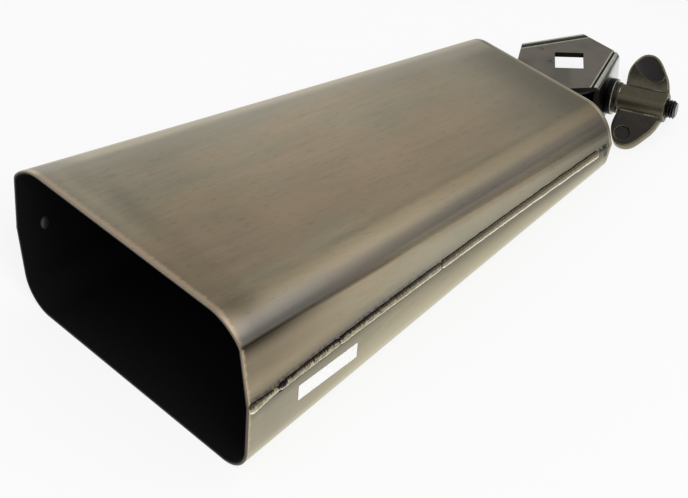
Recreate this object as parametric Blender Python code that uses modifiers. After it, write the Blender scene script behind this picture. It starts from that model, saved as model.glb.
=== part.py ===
# Mambo cowbell: two folded sheet halves welded along their sides, a closed end plate and a
# folded clamp bracket with an eye bolt, a thick washer and a wing nut.
# The bell is drawn about its own middle plane (X across, Y along it, mouth at -Y) under an
# empty that lays it down on its lower face, with the origin on that face.
import bpy
import bmesh
from math import atan2, cos, pi, radians, sin, tan
from mathutils import Matrix, Vector

for old in list(bpy.data.objects):
    bpy.data.objects.remove(old, do_unlink=True)

# Bell body
BELL_LENGTH = 0.216         # mouth to closed end, 8.5 in
MOUTH_SEAM_WIDTH = 0.1451   # across the side seams
MOUTH_FLAT_WIDTH = 0.1379   # across the upper and lower faces, to the sharp corners
MOUTH_HEIGHT = 0.0705
MOUTH_UPPER_R = 0.0225      # upper corners, next to the upper face
MOUTH_BEND_R = 0.0060       # upper corners, tighter next to the side walls
MOUTH_LOWER_R = 0.0150
END_SEAM_WIDTH = 0.0896
END_FLAT_WIDTH = 0.0818
END_HEIGHT = 0.0316
END_UPPER_R = 0.0140
END_BEND_R = 0.0140
END_LOWER_R = 0.0105
UPPER_TURN = 48             # degrees that an upper corner turns before it tightens
SEAM_BOW = 0.0041           # pull of the seams' upward bow between their ends
SEAM_END_LEVEL = 0.0009     # seams above the middle plane at the closed end
SHELL_SHEET = 0.0015
SEAM_ROOT = 0.0006          # open joint between the halves
END_PLATE = 0.0018
END_PLATE_EDGE = 0.0005

# Side seam beads
BEAD_MOUTH_WIDTH = 0.0034
BEAD_END_WIDTH = 0.0024
BEAD_CROWN = 0.0010
BEAD_TOE = 0.0001           # step at the bead's edge
BEAD_WANDER = 0.10          # share by which width and height wander

# Clamp bracket, a folded plate with a diamond rod hole; distances from the end plate's face
BRACKET_HEIGHT = 0.024
BRACKET_SHEET = 0.0023
BEND_R = 0.0026             # outside of the fold
BASE_HALF_WIDTH = 0.0125
FLARE_HALF_WIDTH = 0.0230
FLARE_OUT = 0.0143
TIP_HALF_WIDTH = 0.0109
TIP_OUT = 0.0396
ROD_OUT = 0.0198            # centre of the rod hole
ROD_HOLE_SIDE = 0.0122      # takes a rod of up to 12 mm
FILLET_LEG = 0.0024         # beads at the bracket's foot

# Eye bolt, washer and wing nut along one axis; distances from the bracket wall's outer face
BOLT_D = 0.0080
BOLT_DROP = 0.0012          # axis below the middle plane
EYE_BORE = 0.0130
EYE_WIRE = 0.0055
BOLT_STUB = 0.0042          # thread past the nut
BOLT_CHAMFER = 0.0008
WASHER_D = 0.0155
WASHER_T = 0.0028
NUT_LENGTH = 0.0224
NUT_D = 0.0125
NUT_COLLAR_D = 0.0134
NUT_COLLAR = 0.0014
NUT_FLAT = 0.0056           # axis to the flat panel on each side
NUT_FLAT_ANGLE = 74         # degrees from the wing
WING_REACH = 0.0224         # axis to wing tip
WING_FRONT = 0.0027         # wing's straight edge, from the nut's foot
WING_TIP_AT = 0.0085
WING_SHOULDER = 0.0162      # where the straight edge starts to round
WING_BACK_REACH = 0.0148    # a point on the long rear curve
WING_BACK_AT = 0.0188
WING_T = 0.0042
WING_EDGE_R = 0.0013
DIMPLE_D = 0.0064
DIMPLE_DEEP = 0.0009
DIMPLE_REACH = 0.0164
DIMPLE_AT = 0.0078
SCOOP_LENGTH = 0.0150
SCOOP_WIDTH = 0.0090
SCOOP_DEEP = 0.0010
SCOOP_REACH = 0.0160
SCOOP_AT = 0.0098
WING_ANGLE = 31.4           # degrees, wing plane above the horizontal at rest

# Fits
SEAT = 0.0003               # between pieces that bear on each other
BOLT_PLAY = 0.0003          # round the bolt in every hole

# Rounding
CORNER_STEPS = 5            # in each of a corner's two turns
STATIONS = 7
BEAD_STATIONS = 54


def lerp(a, b, f):
    return a + (b - a) * f


def material(name, colour, roughness, metallic=1.0):
    mat = bpy.data.materials.new(name)
    mat.use_nodes = True
    bsdf = mat.node_tree.nodes["Principled BSDF"]
    bsdf.inputs["Base Color"].default_value = (*colour, 1.0)
    bsdf.inputs["Roughness"].default_value = roughness
    bsdf.inputs["Metallic"].default_value = metallic
    return mat


bell = bpy.data.collections.new("mambo_cowbell")
cutters = bpy.data.collections.new("cutters")
bpy.context.scene.collection.children.link(bell)
bpy.context.scene.collection.children.link(cutters)


def place(name, mesh, parent, mat=None, smooth=35):
    obj = bpy.data.objects.new(name, mesh)
    obj.parent = parent
    if mat is None:
        cutters.objects.link(obj)
        obj.hide_render = True
        obj.display_type = 'WIRE'
    else:
        bell.objects.link(obj)
        mesh.materials.append(mat)
        mesh.shade_smooth()
        mesh.set_sharp_from_angle(angle=radians(smooth))
    return obj


def to_mesh(bm, name):
    mesh = bpy.data.meshes.new(name)
    bm.to_mesh(mesh)
    bm.free()
    return mesh


def boolean(obj, other, operation, solver='EXACT'):
    mod = obj.modifiers.new(other.name, 'BOOLEAN')
    mod.operation = operation
    mod.solver = solver
    mod.object = other


def solidify(obj, thickness):
    mod = obj.modifiers.new("sheet", 'SOLIDIFY')
    mod.thickness = thickness
    mod.offset = -1.0
    mod.use_even_offset = True


def outline_mesh(name, splines, half_depth, round_r=0.0, curve_type='POLY'):
    """A flat outline in XY, given depth along Z, as a closed mesh."""
    data = bpy.data.curves.new(name, 'CURVE')
    data.dimensions = '2D'
    data.fill_mode = 'BOTH'
    data.extrude = half_depth - round_r
    data.bevel_depth = round_r
    data.bevel_resolution = 2
    data.offset = -round_r
    data.resolution_u = 7
    spline = data.splines.new(curve_type)
    if curve_type == 'POLY':
        spline.points.add(len(splines) - 1)
        for point, (x, y) in zip(spline.points, splines):
            point.co = (x, y, 0.0, 1.0)
    else:
        spline.bezier_points.add(len(splines) - 1)
        for point, (x, y, handle) in zip(spline.bezier_points, splines):
            point.co = (x, y, 0.0)
            point.handle_left_type = point.handle_right_type = handle
    spline.use_cyclic_u = True
    obj = bpy.data.objects.new(name, data)
    cutters.objects.link(obj)
    bpy.context.view_layer.update()
    mesh = bpy.data.meshes.new_from_object(obj.evaluated_get(bpy.context.evaluated_depsgraph_get()))
    bpy.data.objects.remove(obj, do_unlink=True)
    bm = bmesh.new()
    bm.from_mesh(mesh)
    bmesh.ops.remove_doubles(bm, verts=bm.verts, dist=0.00001)
    bmesh.ops.recalc_face_normals(bm, faces=bm.faces)
    bm.to_mesh(mesh)
    bm.free()
    return mesh


def cylinder(name, radius, low, high, parent, segments=40):
    """A cutter along the parent's Z."""
    bm = bmesh.new()
    bmesh.ops.create_cone(bm, cap_ends=True, segments=segments, radius1=radius, radius2=radius,
                          depth=high - low,
                          matrix=Matrix.Translation((0, 0, (low + high) / 2)))
    return place(name, to_mesh(bm, name), parent)


def block(name, size, parent):
    bm = bmesh.new()
    bmesh.ops.create_cube(bm, size=1.0, matrix=Matrix.Diagonal((*size, 1.0)))
    return place(name, to_mesh(bm, name), parent)


# Rest frame: the bell lies on its lower face
taper = atan2((MOUTH_HEIGHT - END_HEIGHT) / 2, BELL_LENGTH)
rest = bpy.data.objects.new("rest_frame", None)
bell.objects.link(rest)
rest.rotation_euler = (-taper, 0, 0)
rest.location = (0, 0, (MOUTH_HEIGHT + END_HEIGHT) / 4 * cos(taper))


# Section of the bell at a share f of its length, from the mouth; up is 1 or -1 for its halves
def section_sizes(f):
    return (lerp(MOUTH_SEAM_WIDTH, END_SEAM_WIDTH, f) / 2,
            lerp(MOUTH_FLAT_WIDTH, END_FLAT_WIDTH, f) / 2,
            lerp(MOUTH_HEIGHT, END_HEIGHT, f) / 2)


def seam_level(f):
    return 2 * (1 - f) * f * SEAM_BOW + f * f * SEAM_END_LEVEL


def corner_radii(f, up):
    """Radius next to the flat face and next to the side wall."""
    if up > 0:
        return lerp(MOUTH_UPPER_R, END_UPPER_R, f), lerp(MOUTH_BEND_R, END_BEND_R, f)
    return (lerp(MOUTH_LOWER_R, END_LOWER_R, f),) * 2


def wall_lean(f, up):
    seam, flat, high = section_sizes(f)
    return atan2(seam - flat, high - up * seam_level(f))


def half_section(f, seam_gap, up):
    """A half from its right seam edge to its left one, with heights as if it were the upper half."""
    seam, flat, high = section_sizes(f)
    lean = wall_lean(f, up)
    full_turn = pi / 2 - lean
    first_turn = radians(UPPER_TURN)
    wide, tight = corner_radii(f, up)
    start = flat - ((wide - tight) * cos(full_turn - first_turn) + tight
                    - wide * cos(full_turn)) / sin(full_turn)
    right = [(seam - seam_gap * tan(lean), up * seam_level(f) + seam_gap)]
    for i in range(CORNER_STEPS + 1):
        turn = lerp(full_turn, first_turn, i / CORNER_STEPS)
        right.append((start + (wide - tight) * sin(first_turn) + tight * sin(turn),
                      high - wide + (wide - tight) * cos(first_turn) + tight * cos(turn)))
    for i in range(1, CORNER_STEPS + 1):
        turn = lerp(first_turn, 0.0, i / CORNER_STEPS)
        right.append((start + wide * sin(turn), high - wide + wide * cos(turn)))
    return right + [(-x, z) for x, z in reversed(right)]


# The two halves: folded sheet, open at the mouth, joined to each other along both sides
SHELL_RUN = BELL_LENGTH - END_PLATE - SEAT


def shell_mesh(name, up):
    bm = bmesh.new()
    rows = []
    for i in range(STATIONS):
        y = SHELL_RUN * i / (STATIONS - 1)
        f = y / BELL_LENGTH
        seam_gap = SEAM_ROOT / 2 + SHELL_SHEET * sin(wall_lean(f, up))
        rows.append([bm.verts.new((x, y - BELL_LENGTH / 2, up * z))
                     for x, z in half_section(f, seam_gap, up)])
    for a, b in zip(rows, rows[1:]):
        for j in range(len(a) - 1):
            face = (a[j], b[j], b[j + 1], a[j + 1])
            bm.faces.new(reversed(face) if up > 0 else face)
    bm.normal_update()
    middle = min(bm.faces, key=lambda face: abs(face.calc_center_median().x))
    if middle.normal.z * up < 0:
        bmesh.ops.reverse_faces(bm, faces=bm.faces)
    return to_mesh(bm, name)


bronze = material("brushed_bronze", (0.30, 0.265, 0.215), 0.36)
for name, up in (("upper_shell", 1), ("lower_shell", -1)):
    shell = place(name, shell_mesh(name, up), rest, bronze)
    solidify(shell, SHELL_SHEET)

# The closed end: a plate of the end section's outline
bm = bmesh.new()
ring = half_section(1.0, 0.0, 1)
ring += [(x, -z) for x, z in reversed(half_section(1.0, 0.0, -1)[1:-1])]
face = bm.faces.new([bm.verts.new((x, BELL_LENGTH / 2, z)) for x, z in reversed(ring)])
bm.normal_update()
if face.normal.y < 0:
    face.normal_flip()
end_plate = place("end_plate", to_mesh(bm, "end_plate"), rest,
                  material("end_bronze", (0.31, 0.27, 0.215), 0.38))
solidify(end_plate, END_PLATE)
edge = end_plate.modifiers.new("edge", 'BEVEL')
edge.width = END_PLATE_EDGE
edge.segments = 2
edge.limit_method = 'ANGLE'
edge.angle_limit = radians(50)


# Side seam beads: a crowned ridge whose width and height wander as a hand weld's do
def bead_mesh(name, side):
    bm = bmesh.new()
    rings = []
    for i in range(BEAD_STATIONS):
        y = SHELL_RUN * i / (BEAD_STATIONS - 1)
        f = y / BELL_LENGTH
        wander = BEAD_WANDER * (sin(1.9 * i + side) + 0.7 * sin(0.73 * i + 2.0 * side))
        half = lerp(BEAD_MOUTH_WIDTH, BEAD_END_WIDTH, f) / 2 * (1 + wander)
        crown = BEAD_CROWN * (1 + 0.8 * wander)
        fall = {up: tan(wall_lean(f, up)) for up in (1, -1)}
        seam = section_sizes(f)[0] + SEAT / cos(wall_lean(f, 1))
        points = [(seam - half * fall[-1], -half)]
        for k in range(5):
            a = lerp(-pi / 2, pi / 2, (k + 0.5) / 5)
            z = half * sin(a)
            points.append((seam - abs(z) * fall[1 if z > 0 else -1] + BEAD_TOE + crown * cos(a), z))
        points += [(seam - half * fall[1], half), (seam, 0.0)]
        points = [(x, z + seam_level(f)) for x, z in points]
        rings.append([bm.verts.new((side * x, y - BELL_LENGTH / 2, z)) for x, z in points])
    for a, b in zip(rings, rings[1:]):
        for j in range(len(a)):
            k = (j + 1) % len(a)
            bm.faces.new((a[j], a[k], b[k], b[j]))
    bm.faces.new(rings[0])
    bm.faces.new(rings[-1])
    bmesh.ops.recalc_face_normals(bm, faces=bm.faces)
    return to_mesh(bm, name)


weld = material("weld_bronze", (0.27, 0.235, 0.18), 0.42)
for name, side in (("right_seam_weld", 1), ("left_seam_weld", -1)):
    place(name, bead_mesh(name, side), rest, weld, smooth=60)

# Clamp bracket: hexagonal plate with a wall folded down its right edge, mirrored to a second
# plate below
FACE = BELL_LENGTH / 2
outline = [(-BASE_HALF_WIDTH, FACE + SEAT), (BASE_HALF_WIDTH, FACE + SEAT),
           (FLARE_HALF_WIDTH, FACE + FLARE_OUT), (TIP_HALF_WIDTH, FACE + TIP_OUT),
           (-TIP_HALF_WIDTH, FACE + TIP_OUT), (-FLARE_HALF_WIDTH, FACE + FLARE_OUT)]
bm = bmesh.new()
corners = [bm.verts.new((x, y, BRACKET_HEIGHT / 2)) for x, y in outline]
bm.faces.new(corners)
wall_edge = bm.edges.get((corners[2], corners[3]))
made = bmesh.ops.extrude_edge_only(bm, edges=[wall_edge])["geom"]
bmesh.ops.translate(bm, vec=(0, 0, -BRACKET_HEIGHT / 2),
                    verts=[v for v in made if isinstance(v, bmesh.types.BMVert)])
bm.normal_update()
bmesh.ops.recalc_face_normals(bm, faces=bm.faces)
top = max(bm.faces, key=lambda f: f.calc_center_median().z)
if top.normal.z < 0:
    bmesh.ops.reverse_faces(bm, faces=bm.faces)
bmesh.ops.bevel(bm, geom=[wall_edge], offset=BEND_R, offset_type='OFFSET', segments=6,
                profile=0.5, affect='EDGES', clamp_overlap=False)
bracket = place("clamp_bracket", to_mesh(bm, "clamp_bracket"), rest,
                material("bracket_bronze", (0.16, 0.145, 0.125), 0.45))
mirror = bracket.modifiers.new("lower_plate", 'MIRROR')
mirror.use_axis = (False, False, True)
mirror.merge_threshold = 0.00005
solidify(bracket, BRACKET_SHEET)

rod = block("rod_hole", (ROD_HOLE_SIDE, ROD_HOLE_SIDE, BRACKET_HEIGHT * 2), rest)
rod.location = (0, FACE + ROD_OUT, 0)
rod.rotation_euler = (0, 0, radians(45))
boolean(bracket, rod, 'DIFFERENCE')

# Fillet beads at the foot of each bracket plate
for name, up in (("bracket_top_weld", 1), ("bracket_bottom_weld", -1)):
    leg = FILLET_LEG
    arc = [radians(a) for a in (0, 30, 60, 90)]
    profile = [(0, 0)] + [(leg * cos(a), leg * sin(a)) for a in arc]
    mesh = outline_mesh(name, [(y, up * z) for y, z in profile], BASE_HALF_WIDTH - leg / 3)
    mesh.transform(Matrix.Rotation(radians(90), 4, 'Z') @ Matrix.Rotation(radians(90), 4, 'X'))
    bead = place(name, mesh, rest, weld, smooth=60)
    bead.location = (0, FACE + SEAT, up * (BRACKET_HEIGHT / 2 + SEAT))

# Bolt axis: through the rod hole's centre line, square to the bracket's wall, Z outwards, Y up
along = Vector((TIP_HALF_WIDTH - FLARE_HALF_WIDTH, TIP_OUT - FLARE_OUT, 0)).normalized()
outward = Vector((along.y, -along.x, 0))
bolt_level = Vector((0, FACE + ROD_OUT, -BOLT_DROP))
reach = (Vector((FLARE_HALF_WIDTH, FACE + FLARE_OUT, 0)) - bolt_level).dot(outward)
axis = bpy.data.objects.new("bolt_axis", None)
bell.objects.link(axis)
axis.parent = rest
axis.matrix_local = (Matrix.Translation(bolt_level + outward * reach)
                     @ Matrix((along, (0, 0, 1), outward)).transposed().to_4x4())

bolt_hole = cylinder("bolt_hole", BOLT_D / 2 + BOLT_PLAY, -BRACKET_SHEET * 2, BRACKET_SHEET, axis)
boolean(bracket, bolt_hole, 'DIFFERENCE')


def turned(name, profile, parent, mat, closed, steps=40):
    """A profile in XZ at +X, outer side top to bottom, turned about Z."""
    bm = bmesh.new()
    verts = [bm.verts.new((r, 0, z)) for r, z in profile]
    for a, b in zip(verts, verts[1:] + ([verts[0]] if closed else [])):
        bm.edges.new((a, b))
    obj = place(name, to_mesh(bm, name), parent, mat)
    screw = obj.modifiers.new("turn", 'SCREW')
    screw.axis = 'Z'
    screw.steps = screw.render_steps = steps
    screw.use_merge_vertices = True
    screw.merge_threshold = 0.00001
    screw.use_smooth_shade = True
    return obj


# Washer, a thick flat ring against the wall
WASHER_EDGE = WASHER_T / 8
hole_r = BOLT_D / 2 + BOLT_PLAY
washer = turned("washer", [(WASHER_D / 2 - WASHER_EDGE, WASHER_T), (WASHER_D / 2, WASHER_T - WASHER_EDGE),
                           (WASHER_D / 2, WASHER_EDGE), (WASHER_D / 2 - WASHER_EDGE, 0),
                           (hole_r, 0), (hole_r, WASHER_T)],
                axis, material("washer_black", (0.035, 0.032, 0.032), 0.4), True)
washer.location = (0, 0, SEAT)

# Wing nut: bored barrel with a foot collar, two flat panels and two round wings
NUT_FOOT = SEAT + WASHER_T + SEAT
NUT_EDGE = (NUT_D / 2 - hole_r) / 4
nut_metal = material("nut_bronze", (0.19, 0.165, 0.115), 0.42)
nut = turned("wing_nut", [(NUT_D / 2 - NUT_EDGE, NUT_LENGTH), (NUT_D / 2, NUT_LENGTH - NUT_EDGE),
                          (NUT_D / 2, NUT_COLLAR + NUT_EDGE), (NUT_COLLAR_D / 2, NUT_COLLAR),
                          (NUT_COLLAR_D / 2, 0), (hole_r, 0), (hole_r, NUT_LENGTH)],
             axis, nut_metal, True)
nut.location = (0, 0, NUT_FOOT)
nut.rotation_euler = (0, 0, radians(WING_ANGLE))

panel_foot = NUT_COLLAR + NUT_EDGE / 2
for turn in (0, 180):
    flat = block(f"panel_{turn}", (NUT_D, NUT_D, NUT_LENGTH * 2), nut)
    flat.matrix_local = (Matrix.Rotation(radians(turn + NUT_FLAT_ANGLE), 4, 'Z')
                         @ Matrix.Translation((NUT_FLAT + NUT_D / 2, 0, panel_foot + NUT_LENGTH)))
    boolean(nut, flat, 'DIFFERENCE')

wing_root = (hole_r + NUT_FLAT) / 2
wing_shape = [(wing_root, WING_FRONT, 'VECTOR'), (WING_SHOULDER, WING_FRONT, 'AUTO'),
              (WING_REACH, WING_TIP_AT, 'AUTO'), (WING_BACK_REACH, WING_BACK_AT, 'AUTO'),
              (wing_root, NUT_LENGTH - NUT_EDGE * 1.5, 'VECTOR')]
scoop_slant = atan2(WING_BACK_AT - WING_TIP_AT, WING_BACK_REACH - WING_REACH)
for turn in (0, 180):
    about = Matrix.Rotation(radians(turn), 4, 'Z')
    mesh = outline_mesh(f"wing_{turn}", wing_shape, WING_T / 2, WING_EDGE_R, 'BEZIER')
    mesh.transform(about @ Matrix.Rotation(radians(90), 4, 'X'))
    wing = place(f"wing_{turn}", mesh, nut)
    dimple = cylinder(f"dimple_{turn}", DIMPLE_D / 2, 0, WING_T, nut, segments=28)
    dimple.matrix_local = (about @ Matrix.Translation((DIMPLE_REACH, -WING_T / 2 + DIMPLE_DEEP, DIMPLE_AT))
                           @ Matrix.Rotation(radians(90), 4, 'X'))
    boolean(wing, dimple, 'DIFFERENCE')
    bm = bmesh.new()
    bmesh.ops.create_uvsphere(bm, u_segments=24, v_segments=12, radius=0.5)
    scoop = place(f"scoop_{turn}", to_mesh(bm, f"scoop_{turn}"), nut)
    scoop.matrix_local = (about @ Matrix.Translation((SCOOP_REACH, WING_T / 2, SCOOP_AT))
                          @ Matrix.Rotation(-scoop_slant, 4, 'Y')
                          @ Matrix.Diagonal((SCOOP_LENGTH, SCOOP_DEEP * 2, SCOOP_WIDTH, 1)))
    boolean(wing, scoop, 'DIFFERENCE')
    boolean(nut, wing, 'UNION', 'MANIFOLD')

# Eye bolt: ring round the rod, drawn up against the inside of the wall, and a shank through it
EYE_RING_R = (EYE_BORE + EYE_WIRE) / 2
EYE_AT = -(BRACKET_SHEET + SEAT + EYE_RING_R + EYE_WIRE / 2)
BOLT_END = NUT_FOOT + NUT_LENGTH + BOLT_STUB
bolt = turned("eye_bolt", [(0, BOLT_END), (BOLT_D / 2 - BOLT_CHAMFER, BOLT_END),
                           (BOLT_D / 2, BOLT_END - BOLT_CHAMFER),
                           (BOLT_D / 2, EYE_AT + EYE_RING_R), (0, EYE_AT + EYE_RING_R)],
              axis, material("bolt_black", (0.05, 0.047, 0.045), 0.38), False, steps=32)
bpy.ops.mesh.primitive_torus_add(major_radius=EYE_RING_R, minor_radius=EYE_WIRE / 2,
                                 major_segments=40, minor_segments=14)
eye = bpy.context.object
eye.name = "eye_ring"
for coll in list(eye.users_collection):
    coll.objects.unlink(eye)
cutters.objects.link(eye)
eye.hide_render = True
eye.display_type = 'WIRE'
eye.parent = bolt
eye.location = (0, 0, EYE_AT)
eye.rotation_euler = (radians(90), 0, 0)
boolean(bolt, eye, 'UNION')
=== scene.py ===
from math import atan2, cos, pi, radians, sin, tan

import bmesh
import bpy
from mathutils import Matrix, Vector
from mathutils.kdtree import KDTree


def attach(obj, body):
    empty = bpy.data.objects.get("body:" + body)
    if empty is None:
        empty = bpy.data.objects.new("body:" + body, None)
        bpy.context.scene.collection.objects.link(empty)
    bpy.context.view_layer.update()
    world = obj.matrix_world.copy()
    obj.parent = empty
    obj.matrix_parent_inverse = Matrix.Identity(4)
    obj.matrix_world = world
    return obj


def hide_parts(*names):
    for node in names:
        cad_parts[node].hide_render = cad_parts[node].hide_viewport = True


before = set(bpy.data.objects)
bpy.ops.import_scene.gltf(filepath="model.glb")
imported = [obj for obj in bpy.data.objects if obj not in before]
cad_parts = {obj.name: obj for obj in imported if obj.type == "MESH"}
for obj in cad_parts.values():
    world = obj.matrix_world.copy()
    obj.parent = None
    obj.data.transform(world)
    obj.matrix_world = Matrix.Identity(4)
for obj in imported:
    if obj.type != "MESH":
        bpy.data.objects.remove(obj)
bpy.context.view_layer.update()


# The table and the studio. A white table top runs past the edge of sight under a soft dome that
# is dim at its foot and bright overhead, with one broad lamp to the bell's right. The camera stands
# over the bell's right front corner with a long lens.
class Wire:
    """An output of a node tree. Arithmetic on it adds nodes."""

    def __init__(self, nodes, socket):
        self.nodes = nodes
        self.socket = socket

    def other(self, out):
        """Another output of the same node."""
        return Wire(self.nodes, self.socket.node.outputs[out])

    def math(self, operation, *values):
        return self.nodes.node('ShaderNodeMath', {'operation': operation}, dict(enumerate(values)))

    def __add__(self, other):
        return self.math('ADD', self, other)

    def __sub__(self, other):
        return self.math('SUBTRACT', self, other)

    def __rsub__(self, other):
        return self.math('SUBTRACT', other, self)

    def __mul__(self, other):
        return self.math('MULTIPLY', self, other)

    def __truediv__(self, other):
        return self.math('DIVIDE', self, other)

    def __pow__(self, other):
        return self.math('POWER', self, other)

    def __abs__(self):
        return self.math('ABSOLUTE', self)

    __radd__ = __add__
    __rmul__ = __mul__

    def larger(self, other):
        return self.math('MAXIMUM', self, other)

    def smaller(self, other):
        return self.math('MINIMUM', self, other)

    def swing(self, size):
        """A noise made to swing about zero."""
        return (self - 0.5) * size

    def rise(self, low, high):
        """0 below low, 1 above high, smooth between."""
        return self.nodes.node('ShaderNodeMapRange', {'interpolation_type': 'SMOOTHSTEP'},
                               {'Value': self, 'From Min': low, 'From Max': high})

    def fall(self, low, high):
        """1 below low, 0 above high, smooth between."""
        return 1.0 - self.rise(low, high)

    def hump(self, low, full, still_full, high):
        """0 below low and above high, 1 from full to still_full."""
        return self.rise(low, full) * self.fall(still_full, high)

    def blend(self, low, high):
        """The colour low where this share is 0, high where it is 1."""
        return self.nodes.node('ShaderNodeMix', {'data_type': 'RGBA'}, {0: self, 6: low, 7: high}, 2)

    def towards(self, colour, share):
        """This colour where share is 0, the other where it is 1."""
        return share.blend(self, colour)

    def lit(self, share):
        """This colour made lighter or darker."""
        return self.nodes.node('ShaderNodeVectorMath', {'operation': 'SCALE'}, {0: self, 'Scale': share})

    def parts(self):
        """The three parts of a place or direction."""
        first = self.nodes.node('ShaderNodeSeparateXYZ', {}, {0: self})
        return first, first.other(1), first.other(2)

    def along(self, axis):
        """How far a place or direction reaches along an axis."""
        return self.nodes.node('ShaderNodeVectorMath', {'operation': 'DOT_PRODUCT'}, {0: self, 1: axis}, 1)

    def grain(self, per_metre, detail=3.0, shift=(0, 0, 0)):
        """Noise over a place, with so many cells in a metre, the same or its own along each axis."""
        cells = per_metre if isinstance(per_metre, tuple) else (per_metre,) * 3
        moved = self.nodes.node('ShaderNodeMapping', {}, {0: self, 'Location': shift, 'Scale': cells})
        return self.nodes.node('ShaderNodeTexNoise', {}, {'Vector': moved, 'Scale': 1.0, 'Detail': detail})


def put(socket, value):
    """Sets a socket's own value; a colour gets its alpha here."""
    socket.default_value = (*value, 1) if socket.type == 'RGBA' else value


class Nodes:
    """A node tree that is written as expressions."""

    def __init__(self, tree):
        self.tree = tree

    def node(self, kind, settings=None, inputs=None, out=0):
        made = self.tree.nodes.new(kind)
        for key, value in (settings or {}).items():
            setattr(made, key, value)
        for key, value in (inputs or {}).items():
            if isinstance(value, Wire):
                self.tree.links.new(value.socket, made.inputs[key])
            else:
                put(made.inputs[key], value)
        return Wire(self, made.outputs[out]) if made.outputs else None


class Finish(Nodes):
    """A material: what is the same all over is set here, the rest is fed in later."""

    def __init__(self, name, **same):
        self.material = bpy.data.materials.new(name)
        self.material.use_nodes = True
        super().__init__(self.material.node_tree)
        self.surface = self.tree.nodes["Principled BSDF"]
        for key, value in same.items():
            put(self.surface.inputs[key.replace("_", " ")], value)
        self.place = self.node('ShaderNodeTexCoord', out=3)

    def kept(self, name):
        """A number that the mesh keeps on its vertices."""
        return self.node('ShaderNodeAttribute', {'attribute_name': name}, out=2)

    def feed(self, **varying):
        for key, wire in varying.items():
            self.tree.links.new(wire.socket, self.surface.inputs[key.replace("_", " ")])

    def bump(self, height, distance, strength):
        self.feed(Normal=self.node('ShaderNodeBump', {}, {'Strength': strength, 'Distance': distance,
                                                          'Height': height}))


def mesh_of(name, bm):
    """A new mesh of what bm holds; bm is done with."""
    mesh = bpy.data.meshes.new(name)
    bm.to_mesh(mesh)
    bm.free()
    return mesh


def shown(name, data):
    """A new object in the scene."""
    obj = bpy.data.objects.new(name, data)
    scene.collection.objects.link(obj)
    return obj


scene = bpy.context.scene
scene.view_settings.view_transform = 'Standard'

TABLE_HALF = 6.0
TABLE_WHITE = (0.93, 0.93, 0.93)
TABLE_FAR = (0.20, 0.20, 0.20)
LIT_ROUND = (0.16, 0.40)    # distances from the bell between which the table dims
DIM_SIDE = (-0.25, 0.0)     # places across between which that sets in; the left stays white
HAZE = (0.5, 1.2)           # distances between which the table passes into the backdrop
TABLE_GLOW = 0.86           # share of plain white in what is seen of the table
BACKDROP = (0.96, 0.96, 0.96)
bm = bmesh.new()
bmesh.ops.create_grid(bm, x_segments=2, y_segments=2, size=TABLE_HALF)
table = shown("table_top", mesh_of("table_top", bm))
table_finish = Finish("table_white", Roughness=0.6)
seen = table_finish.node('ShaderNodeLightPath')
away = table_finish.node('ShaderNodeVectorMath', {'operation': 'LENGTH'}, {0: table_finish.place}, 1)
aside, _, _ = table_finish.place.parts()
# Painted falloff of light: the table's colour darkens away from the bell on its right, so that it reflects
# dark there
dim = aside.rise(*DIM_SIDE) * away.rise(*LIT_ROUND)
table_finish.feed(Base_Color=dim.blend(TABLE_WHITE, TABLE_FAR))
mirrored = seen.other("Is Glossy Ray").larger(seen.other("Is Transmission Ray"))
hazy = dim.larger(away.rise(*HAZE))
glow = seen * (TABLE_GLOW + hazy * (1.0 - TABLE_GLOW))
glow = glow.larger(mirrored * (1.0 - dim) * TABLE_GLOW)
mixed = table_finish.node('ShaderNodeMixShader', {},
                          {0: glow, 1: Wire(table_finish, table_finish.surface.outputs[0]),
                           2: table_finish.node('ShaderNodeEmission', {}, {'Color': BACKDROP})})
table_finish.tree.links.new(mixed.socket, table_finish.tree.nodes["Material Output"].inputs[0])
table.data.materials.append(table_finish.material)

DOME_FOOT = (0.31, 0.315, 0.33)
DOME_SIDES = (0.78, 0.78, 0.78)
DOME_RISE = (0.15, 0.85)            # heights between which the dome brightens
SCREEN_FOOT = (1.00, 1.06, 1.13)    # a pale screen stands to the bell's left
SCREEN_SIDE = (0.82, 0.82, 0.82)
SCREEN_TOP = (0.50, 0.50, 0.50)
SCREEN_FOOT_RISE = (0.16, 0.47)
SCREEN_RISE = (0.28, 0.60)
SCREEN_SPREAD = (-0.50, -0.05)      # sideways, from where it is full to where it ends
WINDOW_LIGHT = (1.15, 1.15, 1.14)
WINDOW_TOWARDS = Vector((0.27, 0.50, 0.82)).normalized()
WINDOW_SPREAD = (0.90, 0.985)       # cosines from its middle where its light ends and is full
dome = bpy.data.worlds.new("studio_dome")
scene.world = dome
dome.use_nodes = True
sky = Nodes(dome.node_tree)
direction = sky.node('ShaderNodeTexCoord')
aside, _, level = direction.parts()
dome_light = level.rise(*DOME_RISE).blend(DOME_FOOT, DOME_SIDES)
screen_light = level.rise(*SCREEN_RISE).blend(SCREEN_SIDE, SCREEN_TOP)
screen_light = level.rise(*SCREEN_FOOT_RISE).blend(SCREEN_FOOT, screen_light)
dome_light = dome_light.towards(screen_light, aside.fall(*SCREEN_SPREAD))
dome_light = dome_light.towards(WINDOW_LIGHT, direction.along(WINDOW_TOWARDS).rise(*WINDOW_SPREAD))
backdrop = dome_light.towards(BACKDROP, sky.node('ShaderNodeLightPath'))
sky.tree.links.new(backdrop.socket, sky.tree.nodes["Background"].inputs[0])

LAMP_AT = Vector((0.95, -0.25, 1.05))
LAMP_SIDE = 0.55
LAMP_POWER = 12.0
lamp_data = bpy.data.lights.new("broad_lamp", 'AREA')
lamp_data.size = LAMP_SIDE
lamp_data.energy = LAMP_POWER
lamp = shown("broad_lamp", lamp_data)
lamp.location = LAMP_AT
lamp.visible_glossy = False
lamp.rotation_euler = (-LAMP_AT).to_track_quat('-Z', 'Y').to_euler()

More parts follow.
